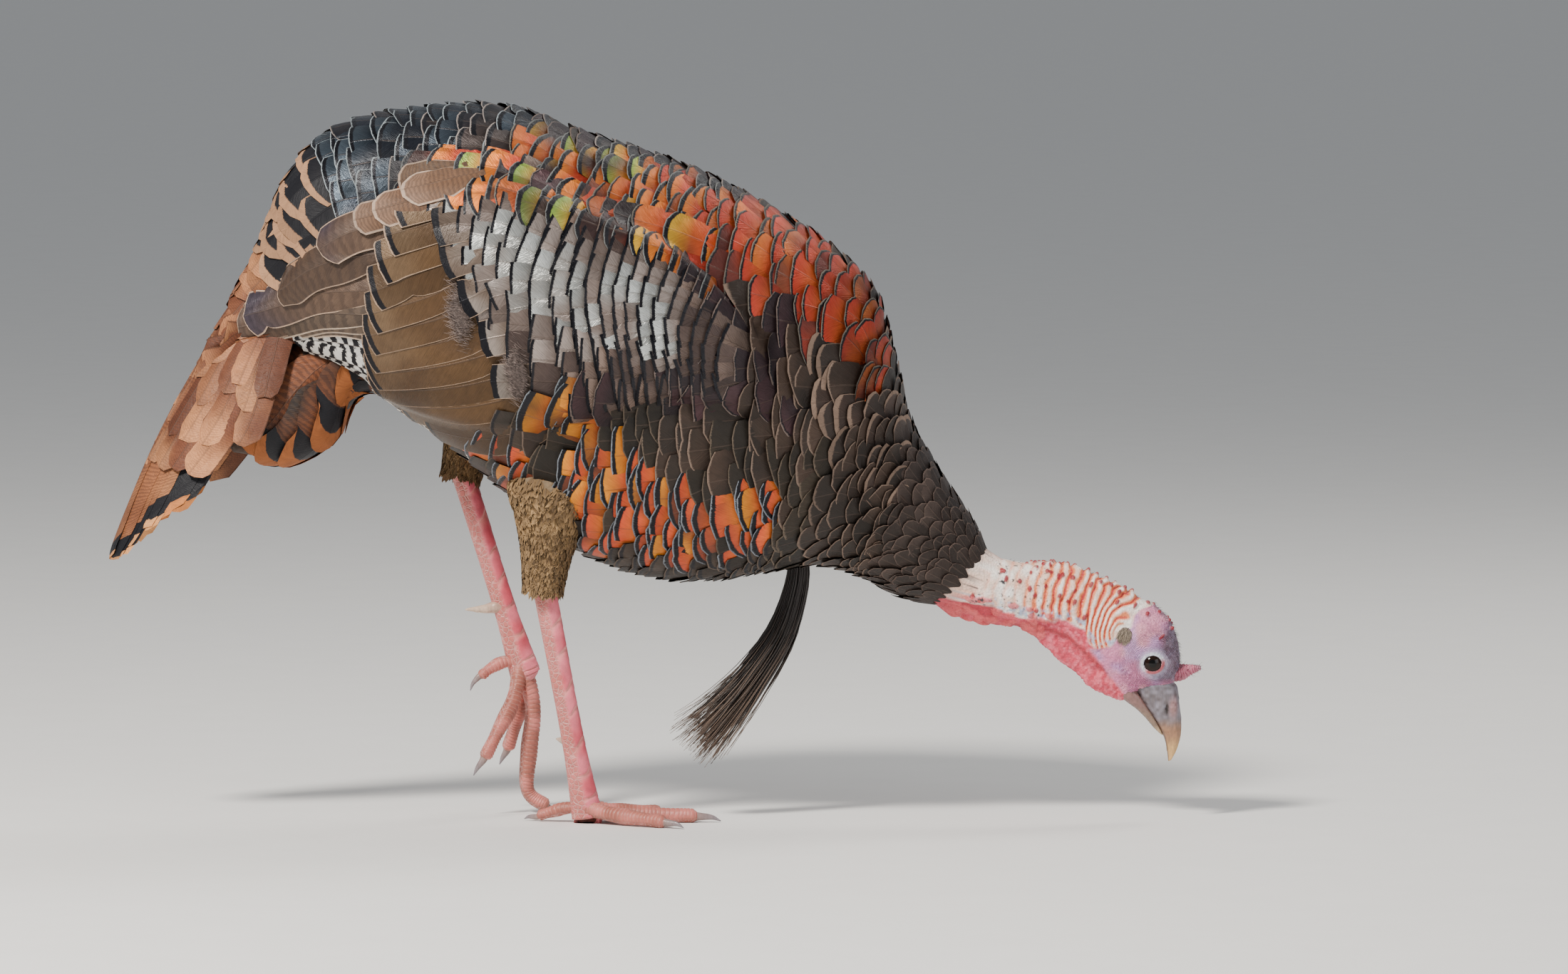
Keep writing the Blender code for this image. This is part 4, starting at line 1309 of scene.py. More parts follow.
    def quills(self) -> Quills:
        """All the feathers of these tracts, on both sides."""
        rng = seeded(11)
        root = even_rows(self.form, 14.95, -0.1, self.spacing, self.breadth)
        root = root + rng.normal(0, 1, root.shape) * (0.03, 0.018)
        p, q = root.T
        count = len(p)
        share = depth_share(q)
        length = self.spacing(p) * 3.2 * rng.uniform(0.88, 1.12, count)
        droop = np.interp(p, (0, 4, 7, 9, 11, 15), (0.1, 0.2, 0.35, 0.5, 0.45, 0.12)) * ease(share / 0.3)
        depth = np.interp(p, (0, 12, 15), (self.depth, self.depth * 0.7, 3.5))
        reach = flow_reach(self.form, root, length, droop, rng.normal(0, 0.09, count))
        tip = root + reach * 0.95
        across, start = wing_share(*tip.T), wing_share(*root.T)
        over = (across > 0.8) & (start < 1.0) & (tip[:, 0] > 4.0) & (tip[:, 0] < 6.6)
        quills = Quills.of(
            root,
            reach,
            length,
            self.breadth(p) * 1.4 * rng.uniform(0.85, 1.2, count),
            np.where(over, -4.0, -depth) + rng.uniform(-0.4, 0.4, count),
            np.where(over, 7.2, depth * 0.85) + rng.uniform(-0.5, 0.7, count) - np.interp(p, (11, 14), (0, 1.2)),
            np.interp(p, (0, 2.5, 4, 9, 12, 15), (0.7, 0.7, 0.22, 0.24, 0.6, 0.9)) * rng.uniform(0.6, 1.2, count),
            self.looks(root + reach * 0.75, rng),
        )
        lowest = np.interp(tip[:, 0], self.wing_places, self.wing_limits)
        return quills.where(~((across > 0.05) & (across < lowest) & (tip[:, 0] > 0.1) & (p < 7.7)))

    def build(self, material: Material) -> None:
        """Grows the feathers and makes them a few pieces.

        Args:
            material: The vanes' finish.
        """
        quills = self.quills()
        for seed, (name, slot, low, high) in enumerate(self.bands):
            part = quills.where((quills.root[:, 0] >= low) & (quills.root[:, 0] < high))
            Coat(self.form, seed=20 + seed).grow(part, name, material, slot)


@dataclass
class Wings:
    """The folded wings: coverts in rows, the long covers over the quills, and the quills themselves.

    Each long feather has a row: its start, middle and end, each as place along the trunk and angle from the top in
    degrees, then its width, the height of its root over the form, and how round it ends.
    """

    form: Plumage = field(default_factory=lambda: Plumage(TRUNK))
    primaries: Table = (
        (4.2, 104, 2.7, 110, 1.12, 117, 26, -8.4, 0.9),
        (4.35, 112, 2.8, 121, 1.12, 130, 26, -7.6, 0.9),
        (4.5, 120, 2.95, 132.5, 1.25, 144, 26, -7.0, 0.9),
        (4.65, 128, 3.15, 144, 1.5, 157, 26, -6.5, 0.9),
        (4.8, 136, 3.45, 154, 1.95, 166, 26, -6.1, 0.9),
        (4.95, 144, 3.8, 161, 2.5, 171, 25, -5.8, 0.9),
        (5.0, 150, 4.1, 165, 3.05, 173, 24, -5.5, 0.9),
    )
    secondaries: Table = (
        (4.0, 107, 2.6, 111, 1.5, 115, 24, -4.6, 0.9),
        (3.95, 104, 2.3, 109.5, 1.2, 113, 26, -4.3, 0.9),
        (3.9, 100, 1.9, 108, 0.6, 107, 28, -4.0, 0.9),
    )
    tertials: Table = (
        (4.2, 98, 1.6, 106, 0.22, 93, 34, -6.4, 1.0),
        (4.2, 90, 1.8, 97.5, 0.4, 85.5, 36, -5.4, 1.0),
        (4.2, 82, 2.2, 88, 1.2, 87.5, 36, -4.4, 1.0),
        (4.3, 73, 3.15, 77, 2.35, 83, 34, -3.4, 1.0),
    )
    greater: Table = (
        (6.2, 101, 4.95, 129.5, 3.7, 158, 34, -6.6, 0.25),
        (6.1, 99, 4.65, 127.5, 3.2, 156, 34, -6.35, 0.25),
        (6.0, 97, 4.47, 123.5, 2.95, 150, 34, -6.1, 0.25),
        (5.8, 95, 4.33, 118.0, 2.85, 141, 34, -5.85, 0.25),
        (5.6, 92, 4.23, 111.5, 2.86, 131, 34, -5.6, 0.25),
        (5.4, 89, 4.15, 105.0, 2.9, 121, 34, -5.35, 0.25),
        (5.25, 85, 4.12, 98.5, 2.98, 112, 34, -5.1, 0.25),
        (5.15, 81, 4.12, 92.0, 3.1, 103, 34, -4.85, 0.25),
        (5.05, 77, 4.13, 86.0, 3.22, 95, 34, -4.6, 0.25),
        (5.0, 72, 4.19, 79.5, 3.38, 87, 34, -4.35, 0.25),
        (4.95, 66, 4.25, 72.5, 3.55, 79, 34, -4.1, 0.25),
        (4.9, 60, 4.3, 65.0, 3.7, 70, 32, -3.85, 0.25),
    )
    median: Table = (
        (5.7, 101, 5.25, 106, 4.85, 110, 28, -5.8, 0.2),
        (5.5, 92, 5.1, 96, 4.72, 100, 29, -5.6, 0.2),
        (5.3, 84, 4.9, 88, 4.5, 92, 30, -5.4, 0.2),
        (5.15, 76, 4.7, 80, 4.28, 84, 31, -5.2, 0.2),
        (5.05, 69, 4.6, 72, 4.2, 75, 32, -5.0, 0.2),
    )
    buff: Table = (
        (4.8, 55, 4.3, 60, 3.8, 64, 34, 2.2, 0.9),
        (4.6, 52, 4.1, 57, 3.75, 60, 32, 1.6, 0.9),
        (4.4, 62, 3.9, 67, 3.4, 71, 30, 1.6, 0.9),
        (4.2, 66, 3.6, 71, 3.1, 74, 26, 1.2, 0.9),
    )
    gap_places: Row = (4.7, 5.2, 5.9, 8.7)
    gaps: Row = (16, 13.5, 10.5, 10)
    droop_places: Row = (0, 0.34, 0.44, 1)
    droops: Row = (0.0, 0.04, 0.42, 0.5)
    first_row: float = 8.7
    last_row: float = 4.6
    section_run: float = 68.0  # millimetres from one trunk section to the next
    down_spots: Table = ((4.52, 95), (5.22, 105))
    down_strands: int = 2000

    def long(self, side: int, look: Look, table: Table, lift: float) -> Quills:
        """The long feathers of one table, on one side.

        Args:
            side: 1 for the left wing and -1 for the right.
            look: What they wear.
            table: Their rows.
            lift: How much higher their tips are than their roots.

        Returns:
            The feathers.
        """
        rows = np.array(table)
        places = rows[:, :6].reshape(-1, 3, 2) * (1, side * math.pi / 180)
        start, middle, end = places.transpose(1, 0, 2)
        length = np.linalg.norm(self.form.points(*end.T) - self.form.points(*start.T), axis=1) * 1.06
        quills = Quills.of(start, end - start, length, rows[:, 6], rows[:, 7], lift, rows[:, 8], look)
        quills.bend = middle - (start + end) / 2
        return quills

    def lines(self, side: int, start: Array) -> tuple[Array, Array]:
        """The lines down the wing along which rows of coverts are rooted, each square to the way its feathers lie.

        Args:
            side: 1 for the left wing and -1 for the right.
            start: The place along the trunk at which each line leaves the wing's upper edge.

        Returns:
            How far across the wing the lines' points are, and the place along the trunk of each line's points.
        """
        grid = np.linspace(0, 1, 41)
        place, lines = start.astype(float), []
        for across in grid:
            lines.append(place)
            level = np.full(len(place), across)
            lower = side * (wing_angle(place, level + 0.01) - wing_angle(place, level - 0.01)) / 0.02
            _, along, round_it, _ = self.form.frame(place, side * wing_angle(place, level))
            turn = math.atan(float(np.interp(across, self.droop_places, self.droops)))
            flow = -unit(along) * math.cos(turn) + unit(round_it) * side * math.sin(turn)
            slope = -dot(round_it * lower[:, None], flow) / dot(along, flow)
            place = place + np.clip(slope[..., 0], -1.5, 4.0) * (grid[1] - grid[0])
        return grid, np.array(lines).T

    def rows(self, side: int, rng: Rng) -> Quills:
        """Small and middle coverts in rows, upright above and slanted forwards below.

        Args:
            side: 1 for the left and -1 for the right.
            rng: The source of what differs from one to the next.

        Returns:
            The feathers.
        """
        found, places = [], [self.first_row]
        while places[-1] > self.last_row:
            gap = float(np.interp(places[-1], self.gap_places, self.gaps))
            places.append(places[-1] - gap / self.section_run)
        grid, lines = self.lines(side, np.array(places))
        for place, line in zip(places, lines):
            gap = float(np.interp(place, self.gap_places, self.gaps))
            wide = float(np.interp(place, (4.7, 5.5, 8.7), (25, 20, 18)))
            count = round(float(np.interp(place, (5, 7, 8.7), (250, 225, 150))) / wide)
            across = (np.arange(count) + 0.5 * (len(found) % 2)) / count
            found.append(np.stack(np.broadcast_arrays(np.interp(across, grid, line), across, gap, wide)))
        p, across, gap, wide = np.concatenate(found, 1)
        front = np.interp(across, (0, 0.4, 0.9, 1), (7.9, 8.2, 8.0, 7.6))
        back = np.interp(across, (0, 0.29, 0.53, 0.67, 0.82, 1), (4.0, 4.3, 4.5, 4.85, 5.3, 5.8))
        keep = (p < front) & (p - 0.6 > back) & (across < np.interp(p, (5, 6, 8), (0.88, 0.92, 1.02)))
        p, across, gap, wide = (part[keep] for part in (p, across, gap, wide))
        count = len(p)
        root = np.stack([p, side * wing_angle(p, across)], -1)
        length = gap * 3.3
        droop = np.interp(across, self.droop_places, self.droops)
        tip = p - 0.42
        # painted highlight: a band across the coverts, silver in its middle and pearl beside it
        middle = np.interp(tip, (4.3, 4.7, 5.4, 6.0, 7.0), (0.27, 0.35, 0.43, 0.49, 0.47))
        painted_highlight_reach = np.interp(tip, (4.3, 4.7, 5.1), (0.07, 0.12, 0.15))
        off_painted_highlight = np.abs(across - middle) / painted_highlight_reach + rng.normal(0, 0.14, count)
        kind = np.select(
            (off_painted_highlight < 1, off_painted_highlight < 1.7, tip > 6.95 + rng.normal(0, 0.12, count)),
            numbers(Look.SILVER_HIGHLIGHT, Look.PEARL_HIGHLIGHT, Look.VIOLET),
            number(Look.BRONZE),
        )
        kind = np.where((tip > 7.05) & (off_painted_highlight < 1.7), number(Look.BRONZE), kind)
        warm = rng.choice(numbers(Look.FIRE, Look.GOLD, Look.FIRE, Look.VIOLET), count)
        kind = np.where((across < 0.15) & (rng.random(count) < 0.9), warm, kind)
        reach = flow_reach(self.form, root, length, droop, rng.normal(0, 0.012, count))
        sizes = (length, wide * 1.5 * rng.uniform(0.97, 1.05, count), -5.5)
        return Quills.of(root, reach, *sizes, 6.8 + rng.uniform(-0.15, 0.2, count), 0.05, LOOK_ROWS[kind])

    def scapulars(self, side: int, rng: Rng) -> Quills:
        """Broad shining feathers that lie over the wing's upper edge.

        Args:
            side: 1 for the left and -1 for the right.
            rng: The source of what differs from one to the next.

        Returns:
            The feathers.
        """
        place, row = (grid.ravel() for grid in np.meshgrid(np.arange(7.6, 4.3, -0.3), (0.0, 1.0)))
        angle = 50 + row * 9 + np.interp(place, (4.3, 7.6), (3, 0))
        count = len(place)
        root = np.stack([place - row * 0.12 + rng.normal(0, 0.03, count), side * np.radians(angle)], -1)
        length = 56 * rng.uniform(0.95, 1.08, count)
        kinds = numbers(Look.FIRE, Look.GOLD, Look.GREEN, Look.FIRE, Look.ORANGE, Look.VIOLET)
        reach = flow_reach(self.form, root, length, 0.12, rng.normal(0, 0.05, count))
        width = 34 * rng.uniform(0.9, 1.1, count)
        return Quills.of(root, reach, length, width, -4.0, 6.5, 0.4, LOOK_ROWS[rng.choice(kinds, count)])

    def down(self, side: int, rng: Rng) -> Shape:
        """Grey-brown down that shows between the coverts in two places.

        Args:
            side: 1 for the left and -1 for the right.
            rng: The source of what differs from one to the next.

        Returns:
            The strands.
        """
        count = self.down_strands
        centre = np.array(self.down_spots)[np.arange(count) % 2]
        spread = rng.normal(0, 1, (count, 2)) * (0.06, 3.0)
        root = np.stack([centre[:, 0] + spread[:, 0], side * np.radians(centre[:, 1] + spread[:, 1])], -1)
        here, along, across, normal = self.form.frame(*root.T)
        fan = rng.normal(0, 0.8, (count, 1)) + spread[:, 1:] * 0.22
        course = unit(-along + unit(across) * side * (0.35 + fan) + normal * rng.uniform(0.15, 0.7, (count, 1)))
        t = np.linspace(0, 1, 5)[None, :, None]
        size = rng.uniform(5, 12, (count, 1, 1))
        curl = np.cross(normal, course)[:, None] * rng.normal(0, 0.3, (count, 1, 1)) - normal[:, None] * 0.35
        paths = (here + normal * 1.2)[:, None] + (course[:, None] * t + curl * t**2) * size
        return bristles(paths, 0.17, 0.8)

    def build(self, material: Material) -> None:
        """Grows both wings' feathers.

        Args:
            material: The vanes' finish.
        """
        fluff = StrandFinish((0.09, 0.066, 0.058, 1), (0.36, 0.28, 0.25, 1), 0.2).make("wing_down")
        for name, side in SIDES.items():
            rng = seeded(40 + side)
            quills = together(
                self.long(side, Look.PRIMARY, self.primaries, 4.2),
                self.long(side, Look.SECONDARY, self.secondaries, 0.8),
                self.long(side, Look.TERTIAL, self.tertials, 4.6),
            )
            coat = Coat(self.form, 28, BROAD_LANES, seed=60 + side, camber=0.015, roll=-0.02)
            flight = coat.grow(quills, f"wing_quills_{name}", material, "wing_barred")
            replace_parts(flight, f"wing_tertials_{name}", f"wing_secondaries_{name}", f"wing_primaries_{name}")
            quills = together(
                self.long(side, Look.GREATER, self.greater, 7.0),
                self.long(side, Look.MEDIAN, self.median, 8.6),
            )
            coat = Coat(self.form, 18, BROAD_LANES, seed=70 + side, camber=0.02, roll=-0.02)
            covers = coat.grow(quills, f"wing_greater_coverts_{name}", material, "wing_brown")
            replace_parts(covers, f"wing_coverts_{name}")
            buff = self.long(side, Look.BUFF, self.buff, 3.0)
            quills = together(self.rows(side, rng), self.scapulars(side, rng), buff)
            coat = Coat(self.form, seed=50 + side, ragged=0.5)
            small = coat.grow(quills, f"wing_small_coverts_{name}", material, "wing_bronze")
            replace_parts(small, f"wing_shoulder_{name}")
            self.down(side, rng).build(f"wing_down_{name}", fluff, "wing_brown")


@dataclass
class Tail:
    """The folded tail's long feathers, and the coverts over and under it."""

    pairs: int = 9
    sheet: TailSheet = field(default_factory=TailSheet)
    under_rows: Table = (
        (1.4, 40, 3.7, 60, 40, -9.5),
        (1.2, 62, 3.6, 108, 44, -8.0),
        (1.2, 95, 3.4, 155, 46, -6.5),
        (0.9, 115, 2.95, 166, 56, -4.5),
        (0.5, 105, 2.3, 146, 46, -2.2),
        (0.3, 140, 1.7, 172, 44, -3.0),
        (0.1, 95, 1.5, 125, 40, -4.0),
    )

    def quills(self) -> Quills:
        """Long feathers from the root's middle, each pair further out, a little shorter and under the last."""
        order = np.repeat(np.arange(self.pairs), 2)
        side = np.tile((1.0, -1.0), self.pairs)
        share = (order + 0.5) / self.pairs
        rng = seeded(80)
        root = np.stack([0.2 + 0.4 * share, side * 0.5 * share], -1)
        end = 6.95 - 2.0 * share**1.2 + rng.uniform(-0.6, 0.1, len(share)) * (order > 0)
        tip = np.stack([end, side * (0.12 + 0.86 * share)], -1)
        run = self.sheet.points(*tip.T) - self.sheet.points(*root.T)
        length = np.linalg.norm(run, axis=1) * 1.06
        kinds = LOOK_ROWS[np.where(share > 0.68, number(Look.RECTRIX_DARK), number(Look.RECTRIX))]
        return Quills.of(root, tip - root, length, 42 - 10 * share, 3.0 - 6.0 * share, 1.0, 1.05, kinds)

    def coverts(self) -> Quills:
        """Long soft feathers over the root of the tail, in a few staggered rows."""
        rng = seeded(81)
        row, lane = (grid.ravel() for grid in np.meshgrid(np.arange(4), np.arange(11)))
        q = (lane - 5 + 0.5 * (row % 2)) / 5.2
        place = row * 0.68 + rng.normal(0, 0.16, row.size)
        root = np.stack([place, np.clip(q, -1, 1)], -1)
        length = 100.0 * rng.uniform(0.9, 1.12, len(q))
        reach = np.stack([length / 46, q * 0.12 + rng.normal(0, 0.02, len(q))], -1)
        return Quills.of(root, reach, length, 27 * rng.uniform(0.9, 1.1, len(q)), 0.8, 2.8, 1.0, Look.TAIL_COVERT)

    def under(self, form: Loft) -> Quills:
        """Broad round feathers over the form under the tail, hanging towards its end.

        Args:
            form: The form under the tail.

        Returns:
            The feathers.
        """
        rows = np.array(self.under_rows)
        sets = []
        for side in (1, -1):
            start = np.stack([rows[:, 0], side * np.radians(rows[:, 1])], -1)
            end = np.stack([rows[:, 2], side * np.radians(rows[:, 3])], -1)
            length = np.linalg.norm(form.points(*end.T) - form.points(*start.T), axis=1) * 1.1
            base = rows[:, 5] + 0.7 * side
            sets.append(Quills.of(start, end - start, length, rows[:, 4], base, 5.5, 1.0, Look.UNDER))
        return together(*sets)

    def build(self, material: Material, down: Material) -> None:
        """Makes the tail, its coverts and the form under it.

        Args:
            material: The vanes' finish.
            down: The finish of the skin under feathers.
        """
        coat = Coat(self.sheet, 30, BROAD_LANES, seed=83, camber=0.03, ragged=4.5, thickness=0.5)
        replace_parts(coat.grow(self.quills(), "tail_quills", material, "tail_chestnut"), "tail_fan")
        coat = Coat(self.sheet, 16, seed=84, ragged=2.2, camber=0.07)
        coat.grow(self.coverts(), "tail_upper_coverts", material, "tail_chestnut")
        form = Loft(UNDER_TAIL)
        coat = Coat(form, 14, BROAD_LANES, seed=85, camber=0.02)
        coat.grow(self.under(form), "tail_under_coverts", material, "tail_chestnut")
        p, q = ring_grid(0.05, 3.95, 24, 28)
        here, _, _, normal = form.frame(p, q)
        tone = np.broadcast_to((0.05, 0.03, 0.02), (*p.shape, 3))
        core = toned(here - normal * 9.0, tone).build("tail_under_form", down, "tail_chestnut")
        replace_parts(core, "under_tail_coverts")


@dataclass
class Hide:
    """The one skin of trunk, neck and head, with its folds, nodules, wattle and eye sockets."""

    around: int = 168
    body_rings: int = 64
    neck_rings: int = 290
    depth: float = 11.0
    lid_opening: tuple[float, float] = (7.3, 6.5)
    crest_tries: int = 900
    crest_gap: float = 5.0
    # Outlines of the cream part by x and z: its lower border, its border with the face, and the crease below it.
    cream_x: Row = (215, 245, 267, 290, 310, 325, 339, 341, 349, 361, 380)
    cream_z: Row = (182, 173, 170, 163, 159.5, 159, 154, 145, 136, 136.5, 150)
    face_z: Row = (90, 105, 119, 136, 138, 146, 154, 163, 168, 172)
    face_x: Row = (377, 367, 355, 345, 359, 365, 377, 378, 385, 398)
    crease_x: Row = (262, 283, 303, 326, 345, 365)
    crease_z: Row = (152, 154, 154, 146, 128, 112)

    def rings(self) -> tuple[Array, Array, Array, Array]:
        """Plain rings of the whole skin.

        Returns:
            Their points, outward normals, the neck's own place (below 0 on the trunk) and the angles.
        """
        angle = np.arange(self.around) * 2 * math.pi / self.around
        angle = (angle + math.pi) % (2 * math.pi) - math.pi
        at = np.linspace(0.25, 14.8, self.body_rings)
        p, q = np.meshgrid(at, angle, indexing="ij")
        here, _, _, outwards = Plumage(TRUNK).frame(p, q)
        body = here - outwards * np.interp(p, (0, 1, 12, 14.8), (6.0, self.depth, self.depth * 0.75, 4.5))[..., None]
        place, turn = np.meshgrid(np.linspace(0.25, 11.0, self.neck_rings), angle, indexing="ij")
        front, _, _, ahead = Loft(NECK).frame(place, turn)
        places = np.concatenate([p - 15, place])
        return np.concatenate([body, front]), np.concatenate([outwards, ahead]), places, np.concatenate([q, turn])

    @staticmethod
    def folds(points: Array) -> Array:
        """Ridges between 0 and 1: arcs round the back of the ear, then bands from the nape down and back.

        Args:
            points: The skin.

        Returns:
            The height of the ridges at each point.
        """
        x, z = points[..., 0], points[..., 2]
        away = ease((np.hypot(x - EAR_CENTRE[0], z - EAR_CENTRE[2]) - 10) / 25)
        reach = np.hypot(x - EAR_CENTRE[0] - 21 * away, (z - EAR_CENTRE[2] - 8 * away) * 0.85)
        wander = noise(points, 13, 1) * 0.9 + noise(points, 5, 2) * 0.35
        phase = np.interp(reach, (0, 12, 45, 140), (0, 3.4, 7.7, 20.5)) + wander
        return np.abs(np.sin(phase * math.pi))

    def lobes(self, rng: Rng) -> Array:
        """The fleshy lobes and nodules.

        Args:
            rng: The source of their places and sizes.

        Returns:
            For each its neck place, its angle, its half lengths along and round, its height, and 1 if it is a small
            red nodule or 0 if it is a soft lobe.
        """

        def scatter(count: int, *ranges: Row) -> Array:
            """Lobes at random on both sides, each value between its lowest and highest."""
            made = rng.uniform(*np.array(ranges, float).T, (count, 6))
            made[:, 1] *= np.where(rng.random(count) < 0.5, -1, 1)
            return made

        crest = scatter(self.crest_tries, (1.2, 8.6), (0.0, 1.7), (1.3, 2.1), (1.9, 3.6), (1.5, 2.6), (1, 1))
        points = Loft(NECK).points(crest[:, 0], crest[:, 1])
        ridge = self.folds(points) > np.where(crest[:, 0] > 2.6, 0.93, 0.0)
        likely = np.exp(-((np.abs(crest[:, 1]) / 0.40) ** 2)) + 0.13
        chosen = ridge & (rng.random(self.crest_tries) < likely)
        crest, points = crest[chosen], points[chosen]
        kept: list[int] = []
        for k in range(len(points)):
            if not kept or np.linalg.norm(points[kept] - points[k], axis=1).min() > self.crest_gap:
                kept.append(k)
        big = np.array([(0.12, 3.05, 13, 12, 4.5, 0), (0.12, -3.05, 13, 12, 4.5, 0), (0.6, 3.0, 8, 7, 3.4, 0)])
        row = scatter(70, (0.35, 2.9), (1.95, 3.14), (3.6, 6.4), (2.2, 3.8), (1.6, 2.9), (0, 0))
        stray = scatter(30, (0.3, 3.6), (0.8, 2.1), (1.4, 2.4), (1.8, 3.2), (1.2, 2.1), (1, 1))
        return np.concatenate([big, row, stray, crest[kept]])

    def relief(self, points: Array, places: Array, angles: Array) -> tuple[Array, Array, Array, Array]:
        """Heights of folds and lobes on the bare skin, and where they are.

        Args:
            points: The plain skin.
            places: The neck's places.
            angles: The angles from the top.

        Returns:
            The height, the furrows between folds, the small red nodules and the soft lobes, from 0 to 1.
        """
        bare = ease((places + 0.3) / 0.4)
        x, z, low = points[..., 0], points[..., 2], ease((np.abs(angles) - 1.75) / 0.5)
        reach = np.hypot(x - EAR_CENTRE[0], z - EAR_CENTRE[2])
        cream = ease((z - np.interp(x, self.cream_x, self.cream_z)) / 4 + 0.4)
        strong = cream * ease((reach - 7) / 4) * (1 - 0.75 * ease((reach - 62) / 30))
        strong = strong * (1 - ease((x - 366 - 0.68 * (z - 150)) / 7 + 0.5))
        crest = self.folds(points)
        crease = np.exp(-(((z - np.interp(x, self.crease_x, self.crease_z)) / 2.2) ** 2))
        crease = crease * ease((x - 266) / 14) * (1 - ease((x - 352) / 12))
        rise, red, soft = (np.zeros(places.shape) for _ in range(3))
        table = self.lobes(seeded(90))
        centre, along, _, _ = Loft(NECK).frame(table[:, 0], table[:, 1])
        ahead = unit(along)
        for k, (place, _, long, wide, height, small) in enumerate(table):
            near = np.abs(places - place) < 1.4
            offset = points[near] - centre[k]
            forth = offset @ ahead[k]
            aside = (offset**2).sum(-1) - forth**2
            dome = np.sqrt(np.clip(1 - (forth / long) ** 2 - aside / wide**2, 0, None))
            rise[near] = np.maximum(rise[near], dome * height)
            target = red if small else soft
            target[near] = np.maximum(target[near], ease(dome * 1.6))
        pebbles = np.abs(noise(points, 2.7, 5) - 0.5) * 2
        pebbly = (0.5 - pebbles) * low * ease((x - 262) / 20) * 1.3
        lumps = (noise(points, 6.5, 8) - 0.5) * 1.5 * ease((np.abs(angles) - 0.9) / 0.6) * (1 - ease((x - 350) / 25))
        shape = (crest**0.8 - 0.4) * strong * 2.0 + pebbly + lumps - crease * 2.0
        return bare * (shape + rise), (1 - crest) * strong * bare, red * bare, soft * bare

    def keel(self, points: Array, places: Array, angles: Array) -> Array:
        """Lets the throat's lower side hang as a narrow wattle: down by the keel's depth times a bell across it.

        Args:
            points: The skin.
            places: The neck's places.
            angles: The angles from the top.

        Returns:
            The new skin.
        """
        section = Loft(NECK).section(np.clip(places, 0, 11))
        down = unit(section[..., 2:4] - section[..., 0:2])
        bell = np.exp(-((points[..., 1] / 8.5) ** 2)) * ease(-np.cos(angles) * 1.6)
        hang = column(KEEL, np.clip(places, 0, 11)) * bell * ease((places + 0.25) / 0.5)
        moved = points.copy()
        moved[..., 0] += down[..., 0] * hang
        moved[..., 2] += down[..., 1] * hang
        return moved

    def sockets(self, points: Array) -> tuple[Array, Array]:
        """Opens the skin round each eye: inside the lids it sinks under the ball, and the lids hug it.

        Args:
            points: The head's skin.

        Returns:
            The new skin, and how near each point is to the lids' rim.
        """
        moved = points.copy()
        x, z = points[..., 0] - EYE_CENTRE[0], points[..., 2] - EYE_CENTRE[2]
        wide, high = self.lid_opening
        reach = np.hypot(x / wide, z / high)
        near = (reach < 2.2) & (np.abs(points[..., 1]) > 4) & (points[..., 0] > 370)
        scale = np.where(near & (np.abs(reach - 1) < 0.07), 1 / np.maximum(reach, 0.1), 1)
        moved[..., 0], moved[..., 2] = EYE_CENTRE[0] + x * scale, EYE_CENTRE[2] + z * scale
        ball = EYE_CENTRE[1] + np.sqrt(np.clip(EYE_RADIUS**2 - (x * scale) ** 2 - (z * scale) ** 2, 0, None))
        out = np.abs(points[..., 1])
        rim = 1 - ease((reach - 1.0) / 0.75)
        lid = out * (1 - rim) + np.maximum(ball + 0.9, out) * rim
        chosen = np.where(reach < 0.97, np.minimum(ball - 1.6, out), lid)
        moved[..., 1] = np.where(near, np.sign(points[..., 1]) * chosen, points[..., 1])
        return moved, np.where(near, np.clip(1 - np.abs(reach - 1.15) / 0.28, 0, 1), 0)

    def tones(self, points: Array, places: Array, furrow: Array, red: Array, soft: Array, lids: Array) -> Array:
        """The skin's colours.

        Dark under the feathers, cream with orange furrows on the nape, coral below, pink and lilac on the face, and
        slate grey on the crown and in front of the eye.

        Args:
            points: The skin.
            places: The neck's places.
            furrow: How much of a furrow each point is.
            red: How much of a small nodule.
            soft: How much of a soft lobe.
            lids: How near it is to the lids' rim.

        Returns:
            The colours.
        """
        x, z = points[..., 0], points[..., 2]
        patchy, fine = noise(points, 7, 11), noise(points, 2.2, 12)
        patch = ease((patchy - 0.3) * 1.8)
        border = z - np.interp(x, self.cream_x, self.cream_z) + (patchy - 0.5) * 6
        cream_at = ease(border / 3 + 0.5)
        face_at = ease((x - np.interp(z, self.face_z, self.face_x) + (patchy - 0.5) * 4) / 4 + 0.5)
        warm = 0.55 + 0.45 * ease((x - 262) / 30)
        blue = ease((6 - np.abs(border - 4)) / 5) * ease((fine - 0.35) * 3) * ease((x - 225) / 20)
        cream = painted(
            blend(ease((patchy - 0.3) * 2.0), (0.86, 0.60, 0.48), (0.95, 0.90, 0.84)),
            (ease(furrow * 2.4) * warm, (0.82, 0.22, 0.08)),
            (ease(furrow * 3.4 - 1.9) * warm, (0.50, 0.03, 0.03)),
            (blue * 0.8, (0.36, 0.52, 0.72)),
        )
        crease = np.exp(-(((z - np.interp(x, self.crease_x, self.crease_z)) / 3.0) ** 2))
        low = painted(
            blend(patch, (0.50, 0.03, 0.055), (0.74, 0.10, 0.14)),
            (ease((x - 288) / 20), blend(ease((fine - 0.25) * 1.8), (0.58, 0.045, 0.085), (0.80, 0.155, 0.215))),
            (crease * ease((x - 262) / 14) * 0.85, (0.36, 0.02, 0.035)),
        )
        crown = ease((x - 0.35 * (z - 120) - 392) / 12 + 0.5) * ease((z - 106) / 8)
        crown = np.maximum(crown, ease((z + 1.1 * x - 598) / 14))
        x_eye, _, z_eye = EYE_CENTRE
